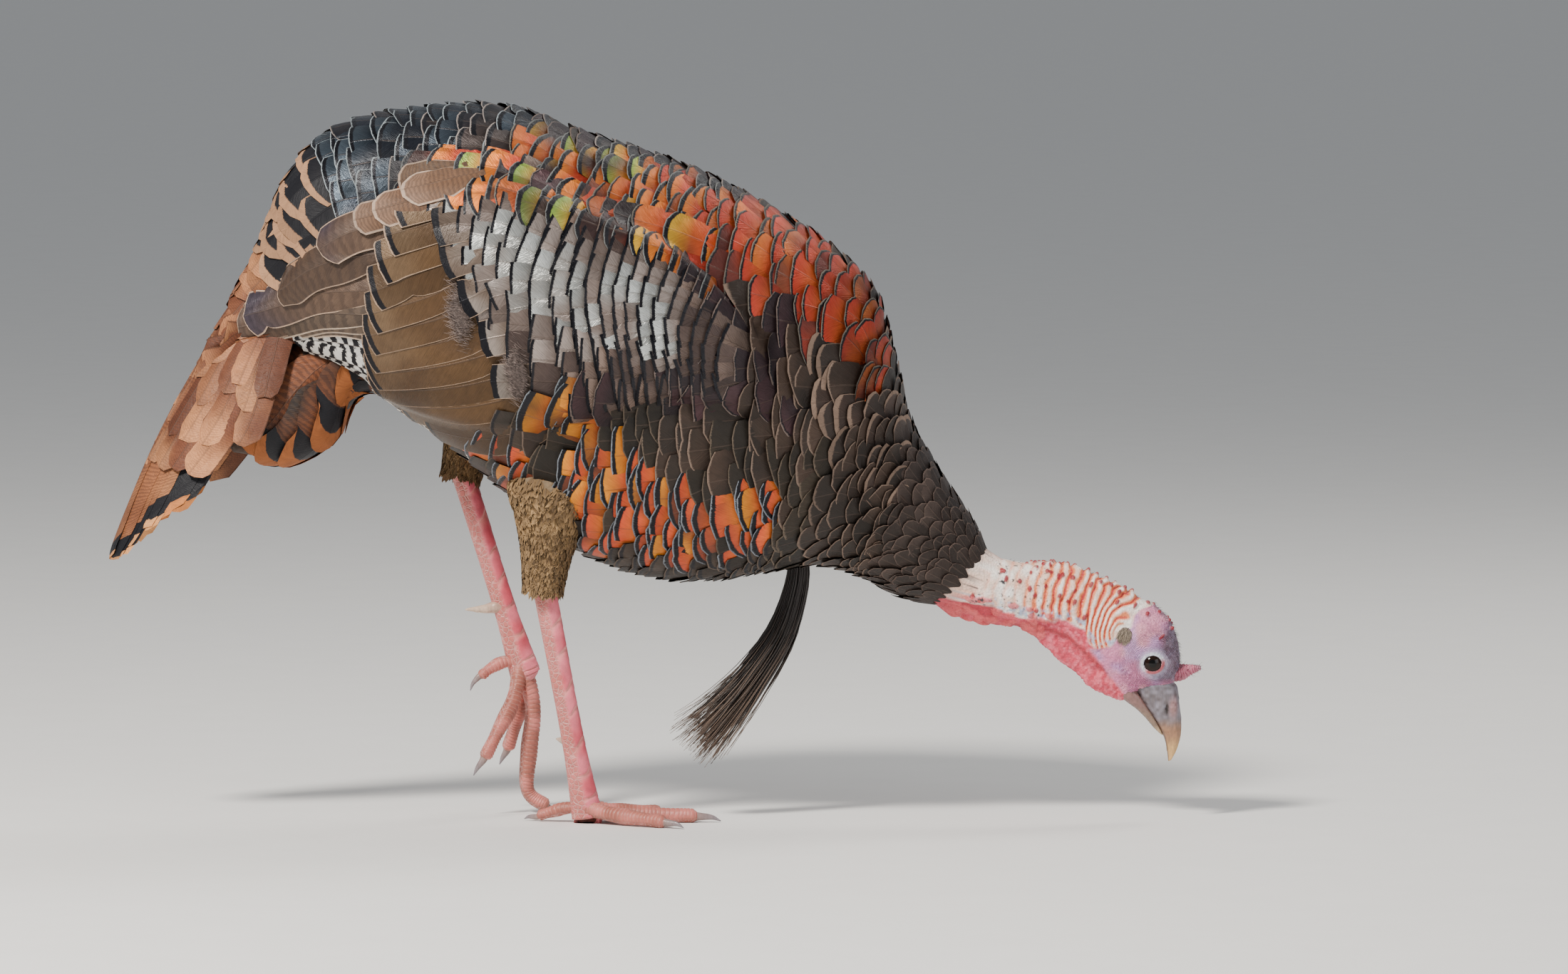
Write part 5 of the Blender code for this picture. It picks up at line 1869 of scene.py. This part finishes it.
        face = painted(
            blend(patch, (0.58, 0.19, 0.34), (0.76, 0.32, 0.42)),
            (ease((noise(points, 11, 14) - 0.45) * 3) * 0.6, (0.44, 0.30, 0.62)),
            (crown * 0.85, blend(fine, (0.03, 0.03, 0.045), (0.20, 0.20, 0.28))),
            ((1 - ease((np.hypot(x - x_eye, z - z_eye) - 9) / 6)) * 0.55, (0.44, 0.40, 0.54)),
        )
        rim = blend(ease((z_eye - z + 0.6 * (x - x_eye)) / 5), (0.66, 0.68, 0.76), (0.52, 0.11, 0.13))
        specks = ease((noise(points, 1.7, 15) - 0.66 - 0.14 * ease((x - 238) / 40)) * 16) * cream_at
        return painted(
            blend(face_at, low, face),
            (cream_at * (1 - face_at), cream),
            (red * 0.95, (0.30, 0.01, 0.02)),
            (soft * 0.8, blend(fine, (0.58, 0.06, 0.07), (0.78, 0.14, 0.14))),
            (ease(lids * 1.4), rim),
            (specks * (1 - ease((x - 300) / 40)), (0.03, 0.03, 0.035)),
            (ease((-places - 0.15) / 0.2), (0.035, 0.026, 0.022)),
        )

    def build(self, material: Material) -> None:
        """Makes the skin.

        Args:
            material: The skin's finish.
        """
        points, normals, places, angles = self.rings()
        shape, furrow, red, soft = self.relief(points, places, angles)
        points = self.keel(points, places, angles)
        calm = ease((np.hypot(points[..., 0] - EYE_CENTRE[0], points[..., 2] - EYE_CENTRE[2]) - 7) / 6)
        points, lids = self.sockets(points + normals * (shape * calm)[..., None])
        tone = self.tones(points, places, furrow, red, soft, lids)
        skin = toned(points, tone).build("skin", material, "neck_skin")
        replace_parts(skin, "trunk", "rump_coverts", "feathered_neck", "neck", "head", "throat_wattle", "neck_caruncles")


@dataclass
class Face:
    """Eyes and lids, bill, snood, ear tufts and the bristles of the head."""

    lid: tuple[float, float] = (7.5, 6.7)
    ear_hairs: int = 900
    ear_radius: float = 5.6
    # Bristles on the neck, then on the snood: how many, from where to where along, how far round, shortest, longest.
    neck_hairs: Table = (
        (420, 6.5, 10.6, 0.6, 1.4, 4.0),
        (260, 0.3, 7.0, 0.8, 1.2, 3.4),
        (200, 1.0, 9.0, 2.4, 0.8, 2.4),
    )
    snood_hairs: Row = (55, 0.5, 1.0, 2.0, 1.5, 4.5)

    def eye(self, sign: int) -> Shape:
        """A ball with its pole outwards: its points go round the axis by the sine and cosine of two angles.

        Args:
            sign: 1 for the left and -1 for the right.

        Returns:
            The ball.
        """
        polar, turn = ring_grid(0.02, math.pi - 0.02, 36, 48)
        flat, out = np.sin(polar) * EYE_RADIUS, np.cos(polar) * EYE_RADIUS
        rings = np.stack([flat * np.cos(turn), sign * out, flat * np.sin(turn)], -1) + EYE_CENTRE * (1, sign, 1)
        return rings_shape(rings, {"vane": np.stack([flat, turn, np.zeros_like(flat)], -1)})

    def lids(self, sign: int) -> Shape:
        """A soft rim round the opening: a tube along an ellipse that lies on the ball.

        Args:
            sign: 1 for the left and -1 for the right.

        Returns:
            The rim.
        """
        turn, about = np.meshgrid(np.arange(64) * math.pi / 32, np.arange(12) * math.pi / 6, indexing="ij")
        wide, high = self.lid
        thick = 1.35 + 0.3 * np.sin(turn + 0.6) - 0.2 * np.cos(turn)
        grow = 1 + thick * np.cos(about) / 9
        x, z = wide * grow * np.cos(turn), high * grow * np.sin(turn)
        ball = np.sqrt(np.clip(EYE_RADIUS**2 - (wide * np.cos(turn)) ** 2 - (high * np.sin(turn)) ** 2, 0, None))
        out = ball + 0.1 + thick * 0.75 * np.sin(about)
        rings = np.stack([x, sign * out, z], -1) + EYE_CENTRE * (1, sign, 1)
        rings = rings + (noise(rings, 1.3, 61) - 0.5)[..., None] * (0.35, 0.35, 0.35)
        red = ease(0.35 - np.sin(turn) * 0.9 + np.cos(turn) * 0.55)
        tone = blend(red, (0.62, 0.64, 0.72), (0.50, 0.10, 0.12))
        # painted shade: the lid's side towards the ball is near black, where it tucks against the eye
        tone = blend(ease(-np.cos(about) * 2.2), tone, (0.05, 0.025, 0.03))
        shape = toned(np.concatenate([rings, rings[:1]]), np.concatenate([tone, tone[:1]]))
        size = turn.size
        return Shape(shape.points[:size], shape.quads[:size] % size, {"tone": shape.values["tone"][:size]})

    def bill(self, rows: Any, upper: bool) -> Shape:
        """One half of the bill, with the nostril's pit and its cover in the upper one.

        Args:
            rows: Its sections.
            upper: Whether it is the upper half.

        Returns:
            The half.
        """
        form = Loft(rows)
        place, turn = ring_grid(0, form.last, 110, 72)
        points, _, _, normal = form.frame(place, turn)
        x, y, z = points[..., 0], points[..., 1], points[..., 2]
        fine, broad = noise(points, 1.6, 22), noise(points, 2.9, 23)
        streaks = noise(points * (1.6, 1.6, 0.3), 2.4, 24)
        if upper:
            low = z - NOSTRIL[1]
            pit = np.exp(-(((x - NOSTRIL[0] - low * 0.05) / 1.25) ** 2 + (low / 4.2) ** 2)) * (np.abs(y) > 1.5)
            flap_x, flap_z = (x - NOSTRIL_COVER[0]) / 3.4, (z - NOSTRIL_COVER[1]) / 8.5
            cover = np.exp(-((flap_x**2 + flap_z**2) ** 1.5)) * (np.abs(y) > 1.2)
            rough = (broad - 0.5) * 0.5 * (1 - ease((80 - z) / 10))
            points = points + normal * (cover * 1.1 - pit * 2.4 + rough)[..., None]
            tone = painted(
                blend(broad, (0.09, 0.075, 0.085), (0.30, 0.28, 0.34)),
                (ease((82 - z) / 12), (0.38, 0.19, 0.10)),
                (ease((68 - z) / 14), (0.72, 0.43, 0.16)),
                (cover * 0.85, blend(fine, (0.22, 0.09, 0.08), (0.60, 0.32, 0.32))),
                # painted shade: the nostril's pit is near black
                (ease(pit * 1.6), (0.012, 0.008, 0.008)),
                (np.exp(-((place - 0.55) ** 2) / 0.05) * (np.abs(y) > 2) * 0.5, (0.55, 0.60, 0.68)),
            )
        else:
            tone = blend(ease((94 - z) / 14), (0.26, 0.13, 0.12), (0.26, 0.17, 0.12))
            tone = blend(ease((76 - z) / 8), tone, (0.60, 0.42, 0.24))
        # painted shade: the sides of the halves that face each other across the gape are darker
        gape_shade = ease((np.cos(turn) * (-1 if upper else 1) - 0.55) / 0.3)
        tone = painted(tone, (gape_shade * 0.7, (0.07, 0.04, 0.035)), ((1 - streaks) * 0.45, (0.12, 0.08, 0.06)))
        points = points + normal * ((fine - 0.5) * 0.3)[..., None]
        return toned(points, np.clip(tone, 0, 1))

    def snood(self) -> Shape:
        """A short cone of skin in rings, each standing out a little."""
        form = Tube(SNOOD, SNOOD_RADII, SNOOD_RADII)
        place, turn = ring_grid(0, 1, 90, 40)
        points, _, _, normal = form.frame(place, turn)
        ring = np.abs(np.sin(place * 13 * math.pi + noise(points, 5, 31) * 5))
        lump = noise(points, 3.4, 32)
        points = points + normal * (ring * 0.7 - 0.2 + (lump - 0.5) * 2.2 * (1 - place))[..., None]
        # painted shade: darker red in the grooves between the raised rings and lumps, over the skin's own reds
        tone = blend(ring * 0.6 + lump * 0.4, (0.28, 0.04, 0.09), (0.62, 0.20, 0.27))
        tone = blend(ease((place - 0.75) / 0.25) * 0.55, tone, (0.16, 0.12, 0.15))
        return toned(points, tone)

    def hairs(self) -> Shape:
        """Short black bristles, thickest on the crown and the snood's end, thin on the neck."""
        rng = seeded(95)
        neck, cone = Loft(NECK), Tube(SNOOD, SNOOD_RADII, SNOOD_RADII)
        sets = (*((neck, row) for row in self.neck_hairs), (cone, self.snood_hairs))
        t = np.linspace(0, 1, 5)[:, None]
        paths = []
        for form, (count, low, high, spread, short, long) in sets:
            q = np.clip(rng.normal(0, spread, count), -3.1, 3.1)
            root, along, _, normal = form.frame(rng.uniform(low, high, count), q)
            course = unit(along) * rng.uniform(0.0, 0.9, (count, 1))
            lean = unit(normal + course + rng.normal(0, 0.25, (count, 3)))
            size = rng.uniform(short, long, (count, 1, 1))
            bend = unit(along)[:, None] * (t**2) * size * 0.3
            paths.append(root[:, None] - normal[:, None] * 0.6 + lean[:, None] * t * size + bend)
        return bristles(np.concatenate(paths), 0.13, 0.8)

    def ears(self) -> Shape:
        """A flat round tuft of short stiff hairs over each ear, lying down and backwards."""
        rng = seeded(96)
        count = self.ear_hairs
        sign = np.where(np.arange(count) % 2, 1.0, -1.0)
        radius, turn = self.ear_radius * np.sqrt(rng.random(count)), rng.uniform(0, 2 * math.pi, count)
        out = sign * (19.6 - (radius / 6.0) ** 2 * 0.6)
        x, _, z = EAR_CENTRE + (1.2, 0, 1)
        root = np.stack([x + radius * np.cos(turn), out, z + radius * np.sin(turn)], -1)
        t = np.linspace(0, 1, 5)[None, :, None]
        size = rng.uniform(3.0, 5.6, (count, 1, 1))
        heading = np.stack([rng.normal(-0.35, 0.2, count), sign * 0.30, rng.normal(-0.9, 0.15, count)], -1)
        paths = root[:, None] + unit(heading)[:, None] * t * size
        paths[..., 1] += (sign[:, None] * (1.2 * t - 1.5 * t**2)[..., 0] * rng.uniform(0.5, 1.6, (count, 1)))
        return bristles(paths, 0.24, 0.75)

    def build(self, skin: Material, horn: Material) -> None:
        """Makes all the parts of the face.

        Args:
            skin: The skin's finish.
            horn: The bill's finish.
        """
        for name, sign in SIDES.items():
            eye = self.eye(sign).build(f"eyeball_{name}", EyeFinish().make(f"eye_{name}"), "eye")
            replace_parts(eye, f"eye_{name}")
            self.lids(sign).build(f"eyelids_{name}", skin, "head_skin")
        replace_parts(self.bill(UPPER_BILL, True).build("bill_upper", horn, "horn"), "upper_bill")
        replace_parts(self.bill(LOWER_BILL, False).build("bill_lower", horn, "horn"), "lower_bill")
        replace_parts(self.snood().build("snood_skin", skin, "wattle_skin"), "snood")
        black = StrandFinish((0.01, 0.01, 0.012, 1), (0.03, 0.03, 0.035, 1)).make("bristle")
        self.hairs().build("head_bristles", black, "bristle")
        tawny = StrandFinish((0.12, 0.09, 0.065, 1), (0.36, 0.29, 0.22, 1), 0.1).make("ear_hair")
        self.ears().build("ear_tufts", tawny, "bristle")


@dataclass
class Beard:
    """The tuft of long bristles on the breast."""

    strands: int = 420
    steps: int = 15
    radius: float = 0.55
    shares: Row = (0, 0.3, 0.6, 1)  # places along it, for its half widths across and from front to back
    broad: Row = (7.5, 10.5, 15, 25)
    deep: Row = (4, 5, 8, 14)
    stray_share: float = 0.09
    stray_reach: tuple[float, float] = (8, 26)

    def build(self) -> None:
        """Bristles along one bent path, close at the root and fanned at the end, some of them stray."""
        rng = seeded(97)
        count, steps = self.strands, self.steps
        t = np.linspace(0, 1, steps)
        share = t[None] * rng.uniform(0.72, 1.0, count)[:, None] ** 0.6
        at = share * (len(BEARD) - 1)
        centre = smooth(BEARD, at)
        ahead = unit(smooth(BEARD, at + 0.1) - smooth(BEARD, at - 0.1))
        front = np.cross(ahead, np.array((0, 1.0, 0)))
        offset = rng.normal(0, 0.42, (count, 2))
        offset = offset / np.maximum(1, np.linalg.norm(offset, axis=1, keepdims=True))
        broad, deep = np.interp(share, self.shares, self.broad), np.interp(share, self.shares, self.deep)
        stray = np.where(rng.random(count) < self.stray_share, rng.uniform(*self.stray_reach, count), 0)
        paths = centre + front * (offset[:, :1] * broad - stray[:, None] * share**2)[..., None]
        paths = paths + np.array((0, 1.0, 0)) * (offset[:, 1:] * deep)[..., None]
        paths = paths + rng.normal(0, 1, (count, 1, 3)) * (share**3)[..., None] * 3.0
        wave = np.sin(t[None] * rng.uniform(5, 11, (count, 1)) + rng.uniform(0, 6.3, (count, 1)))
        paths = paths + front * (wave * share * rng.uniform(0, 2.6, (count, 1)))[..., None]
        shape = tube_strands(paths, self.radius * (1 - 0.75 * t**2)[None] * rng.uniform(0.7, 1.2, (count, 1)))
        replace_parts(shape.build("beard_bristles", StrandFinish().make("beard_bristle"), "bristle"), "beard")


@dataclass
class Leg:
    """A leg: feathered thigh, scaled shank and toes, spur and claws."""

    side: str
    tufts: int = 1700

    def plates(
        self, points: Array, run: Array, turn: Array, pitch: float, strength: float, ringed: bool
    ) -> tuple[Array, Array, Array]:
        """Overlapping plates: in two staggered columns down a shank's front, or in rings over the top of a toe.

        Each plate swells from its upper edge and steps back at its lower one.

        Args:
            points: The limb's skin.
            run: The distance along it.
            turn: The angle round it, 0 being its front.
            pitch: The length of a plate.
            strength: Its height.
            ringed: Whether the plates are rings.

        Returns:
            The height, how much of a joint between plates each point is, and how far plates cover it.
        """
        front = np.cos(turn)
        cover = ease((front + (0.75 if ringed else 0.15)) / 0.5)
        shift = noise(points, 9, 41) * (0.9 if ringed else 0.4)
        middle = np.zeros(run.shape)
        if not ringed:
            shift = shift + 0.5 * (np.sin(turn) > 0) + 0.30 * front
            middle = 1 - ease(np.abs(np.sin(turn)) / 0.12)
        t = (run / pitch + shift) % 1.0
        swell = np.minimum(t / 0.25, 1) ** 0.5 * (1 - ease((t - 0.88) / 0.12))
        joint = np.maximum(1 - np.minimum(swell, 1), middle * 0.8)
        return (swell * strength * 1.5 + t * strength * 0.7 - middle * 0.3) * cover, joint * cover, cover

    def dressed(
        self, tube: Tube, length: float, rings: int, around: int, pitch: float, strength: float, ringed: bool
    ) -> Shape:
        """A limb's skin with its plates and their colours.

        Args:
            tube: The limb's form.
            length: How long it is.
            rings: How many rings of points it has.
            around: How many points each ring has.
            pitch: The length of a plate.
            strength: Its height.
            ringed: Whether the plates are rings, on a toe, whose skin is duskier.

        Returns:
            The limb, with a round end.
        """
        place, turn = ring_grid(0, 1, rings, around)
        points, _, _, normal = tube.frame(place, turn)
        height, joint, cover = self.plates(points, place * length, turn, pitch, strength, ringed)
        points = points + normal * (height - strength * 0.6)[..., None]
        core = tube.core(place, turn)
        radius = float(tube.radii[-1].mean())
        dome = np.sqrt(np.clip(1 - np.clip((place - 1) * length / radius + 1, 0, 1) ** 2, 0, 1))
        points = core + (points - core) * dome[..., None]
        points[..., 2] = np.maximum(points[..., 2], 0.0)
        patch = ease((noise(points, 12 if ringed else 16, 43) - 0.3) * 1.8)
        if ringed:
            tone = blend(patch, (0.34, 0.105, 0.075), (0.57, 0.175, 0.145))
            tone = blend(joint * 0.5, tone, (0.68, 0.34, 0.28))
        else:
            tone = painted(
                blend(patch, (0.56, 0.075, 0.105), (0.74, 0.165, 0.21)),
                ((1 - cover) * 0.7, (0.52, 0.17, 0.13)),
                (ease((place - 0.82) / 0.1) * 0.5, (0.60, 0.22, 0.21)),
                (joint * 0.6, (0.82, 0.42, 0.34)),
            )
        return rings_shape(points, {"tone": np.concatenate([tone, cover[..., None]], -1)})

    def claw(self, end: Array, tip: Array, ahead: Array, radius: float, lateral: Any) -> Shape:
        """A curved horn cone from a toe's end to its tip.

        Args:
            end: The toe's end.
            tip: The claw's tip.
            ahead: The toe's heading there.
            radius: The claw's radius at its root.
            lateral: The direction across the toe.

        Returns:
            The claw.
        """
        root = end - ahead * 1.5
        middle = end + (tip - end) * 0.5 + ahead * 2 + (0, 0, 1.2)
        radii = np.array((1.1, 0.95, 0.6, 0.12)) * radius
        tube = Tube([root, end + ahead * 1.5, middle, tip], radii, radii * 0.85, lateral)
        place, turn = ring_grid(0, 1, 16, 12)
        points = tube.points(place, turn)
        points[..., 2] = np.maximum(points[..., 2], 0.0)
        tone = blend(place, (0.30, 0.19, 0.16), (0.20, 0.185, 0.21))
        return toned(points, tone)

    def build(self, scales: Material, horn: Material, vane: Material, down: Material) -> None:
        """Makes the leg's pieces.

        Args:
            scales: The finish of shank and toes.
            horn: The finish of claws and spur.
            vane: The tufts' finish.
            down: The finish of the thigh's skin.
        """
        hip, hock, foot = (np.array(LEGS[self.side][key], float) for key in ("hip", "hock", "foot"))
        standing = self.side == "right"
        length = float(np.linalg.norm(foot - hock))
        sole = foot + ((2.0, 0, -12.0) if standing else (3.5, 0, -11.0))
        radii = np.array((*SHANK_RADII, 11.0 if standing else 10.0))
        shank = Tube([hock - (foot - hock) * 0.06, hock, (hock + foot) / 2, foot, sole], radii, radii * SHANK_FLAT)
        shapes = [self.dressed(shank, length * 1.14, 280, 56, 12.5, 0.8, False)]
        claws = []
        for toe, joints in TOES[self.side].items():
            radius = TOE_RADII[toe]
            path = np.array([foot * (1, 1, 0.8 if standing else 1.0), *joints[:-1]], float)
            heading = path[-1] - path[0]
            lateral = (-heading[1], heading[0], 0) if standing else (0, 1, 0)
            steps = 9
            swell = 1 + 0.09 * np.cos(np.linspace(0, 2, steps) * 2 * math.pi)
            taper = radius * np.linspace(1, 0.74, steps) * swell
            run = float(np.linalg.norm(np.diff(path, axis=0), axis=1).sum())
            shapes.append(self.dressed(Tube(path, taper, taper, lateral), run, int(run * 2.2), 28, 3.1, 0.5, True))
            ahead = unit(path[-1] - path[-2])
            claws.append(self.claw(path[-1], np.array(joints[-1], float), ahead, radius * 0.74 * 0.62, lateral))
        skin = join(*shapes).build(f"leg_skin_{self.side}", scales, "leg_skin")
        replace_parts(skin, f"shank_{self.side}", *(f"toe_{toe}_{self.side}" for toe in TOES[self.side]))
        made = join(*claws).build(f"claws_{self.side}", horn, "horn")
        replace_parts(made, *(f"claw_{toe}_{self.side}" for toe in TOES[self.side]))
        self.spur(hock, foot, horn)
        self.thigh(hip, hock, vane, down)

    def spur(self, hock: Array, foot: Array, horn: Material) -> None:
        """The horn spur on the inner, hind side.

        Args:
            hock: The shank's upper end.
            foot: Its lower end.
            horn: The spur's finish.
        """
        root = hock + (foot - hock) * SPUR_AT
        heading = unit(np.array(SPUR_HEADINGS[self.side]))
        path = [root, root + heading * SPUR_LENGTH * 0.6, root + heading * (SPUR_LENGTH + 8) + (0, 0, 2.5)]
        radii = np.array((SPUR_RADIUS * 1.15, SPUR_RADIUS * 0.72, 0.7))
        tube = Tube(path, radii, radii, (0, 0, 1))
        place, turn = ring_grid(0, 1, 40, 20)
        points, _, _, normal = tube.frame(place, turn)
        points = points + normal * ((noise(points, 3, 44) - 0.5) * 0.6)[..., None]
        tone = blend(ease(place * 1.3), (0.45, 0.26, 0.20), (0.66, 0.50, 0.38))
        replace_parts(toned(points, tone).build(f"spur_horn_{self.side}", horn, "horn"), f"spur_{self.side}")

    def thigh(self, hip: Array, hock: Array, vane: Material, down: Material) -> None:
        """The thigh's skin under short soft tufts.

        Args:
            hip: The thigh's upper end.
            hock: Its lower end.
            vane: The tufts' finish.
            down: The skin's finish.
        """
        radii = np.array((0.62, 0.92, 1, 1, 1)) * THIGH_RADII
        tube = Tube([hip, (hip + hock) / 2, hock], radii, radii)
        place, turn = ring_grid(0.03, 1, 40, 36)
        points, _, _, normal = tube.frame(place, turn)
        tone = np.broadcast_to((0.17, 0.115, 0.065), (*place.shape, 3))
        skin = toned(points - normal * 3.0, tone).build(f"thigh_skin_{self.side}", down, "thigh_down")
        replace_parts(skin, f"thigh_{self.side}")
        rng = seeded(98)
        count = self.tufts
        root = np.stack([rng.uniform(0.10, 0.97, count), rng.uniform(-math.pi, math.pi, count)], -1)
        size = rng.uniform(8, 12, count)
        reach = np.stack([size / float(np.linalg.norm(hock - hip)), rng.normal(0, 0.12, count)], -1)
        sizes = (size, rng.uniform(3.2, 5.6, count), -3.2, rng.uniform(2.5, 3.4, count), 0.85)
        quills = Quills.of(root, reach, *sizes, Look.TUFT)
        coat = Coat(tube, 5, (-1.0, -0.6, 0.0, 0.6, 1.0), seed=99, ragged=3.0, camber=0.06)
        coat.grow(quills, f"thigh_tufts_{self.side}", vane, "thigh_down")


@dataclass(frozen=True)
class Lamp:
    """A square soft light: its name, place in metres, size, power in watts and colour."""

    name: str
    place: Row
    size: float
    watts: float
    tint: Row

    def build(self) -> None:
        """Makes the light and turns it to the bird."""
        light = bpy.data.lights.new(self.name, "AREA")
        light.size, light.energy, light.color = self.size, self.watts, self.tint
        obj = placed(self.name, light)
        obj.location = self.place
        obj.rotation_euler = (Vector((0, 0, 0.3)) - Vector(self.place)).to_track_quat("-Z", "Y").to_euler()


@dataclass
class Studio:
    """The pale floor, soft lights and the camera."""

    distance: float = 8.0
    elevation: float = 4.0
    view: Row = (0.101, 0.264)
    width: float = 1.243
    film: float = 36.0
    sky: Row = (0.86, 0.90, 0.95, 1)
    glow: float = 0.34
    lamps: tuple[Lamp, ...] = (
        Lamp("key", (-1.7, -2.3, 3.0), 0.7, 250, (1.0, 0.95, 0.88)),
        Lamp("fill", (2.6, -2.4, 1.2), 2.0, 26, (0.95, 0.97, 1.0)),
        Lamp("rim", (1.6, 1.6, 2.6), 1.2, 34, (1.0, 0.97, 0.92)),
    )

    def build(self) -> None:
        """Makes the floor, the lights, the sky's even glow and the camera."""
        mesh = bpy.data.meshes.new("floor")
        mesh.from_pydata([(-40, -12, 0), (40, -12, 0), (40, 70, 0), (-40, 70, 0)], [], [(0, 1, 2, 3)])
        mesh.materials.append(FloorFinish().make("pale_floor"))
        floor = placed("floor", mesh)
        world = bpy.data.worlds.new("studio")
        world.use_nodes = True
        background = world.node_tree.nodes["Background"]
        background.inputs[0].default_value, background.inputs[1].default_value = self.sky, self.glow
        bpy.context.scene.world = world
        for lamp in self.lamps:
            lamp.build()
        camera = bpy.data.cameras.new("camera")
        camera.sensor_width = self.film
        camera.lens = self.film * self.distance / self.width
        camera.clip_end = 120
        obj = placed("camera", camera)
        tilt = math.radians(self.elevation)
        x, z = self.view
        obj.location = (x, -self.distance * math.cos(tilt), z + self.distance * math.sin(tilt))
        obj.rotation_euler = (math.pi / 2 - tilt, 0, 0)
        bpy.context.scene.camera = obj


def main() -> None:
    """Builds the bird and its studio in order."""
    logging.basicConfig(level=logging.INFO, format="%(name)s %(message)s")
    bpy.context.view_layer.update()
    vane = VaneFinish().make("vane")
    skin = SkinFinish().make("bare_skin")
    down = SkinFinish(pebble=300.0, roughness=0.85).make("down_skin")
    horn = HornFinish().make("horn")
    scales = ScaleFinish().make("leg_scales")
    Hide().build(skin)
    Face().build(skin, horn)
    BodyCoat().build(vane)
    Wings().build(vane)
    Tail().build(vane, down)
    Beard().build()
    for side in LEGS:
        Leg(side).build(scales, horn, vane, down)
    Studio().build()


if __name__ == "__main__":
    main()
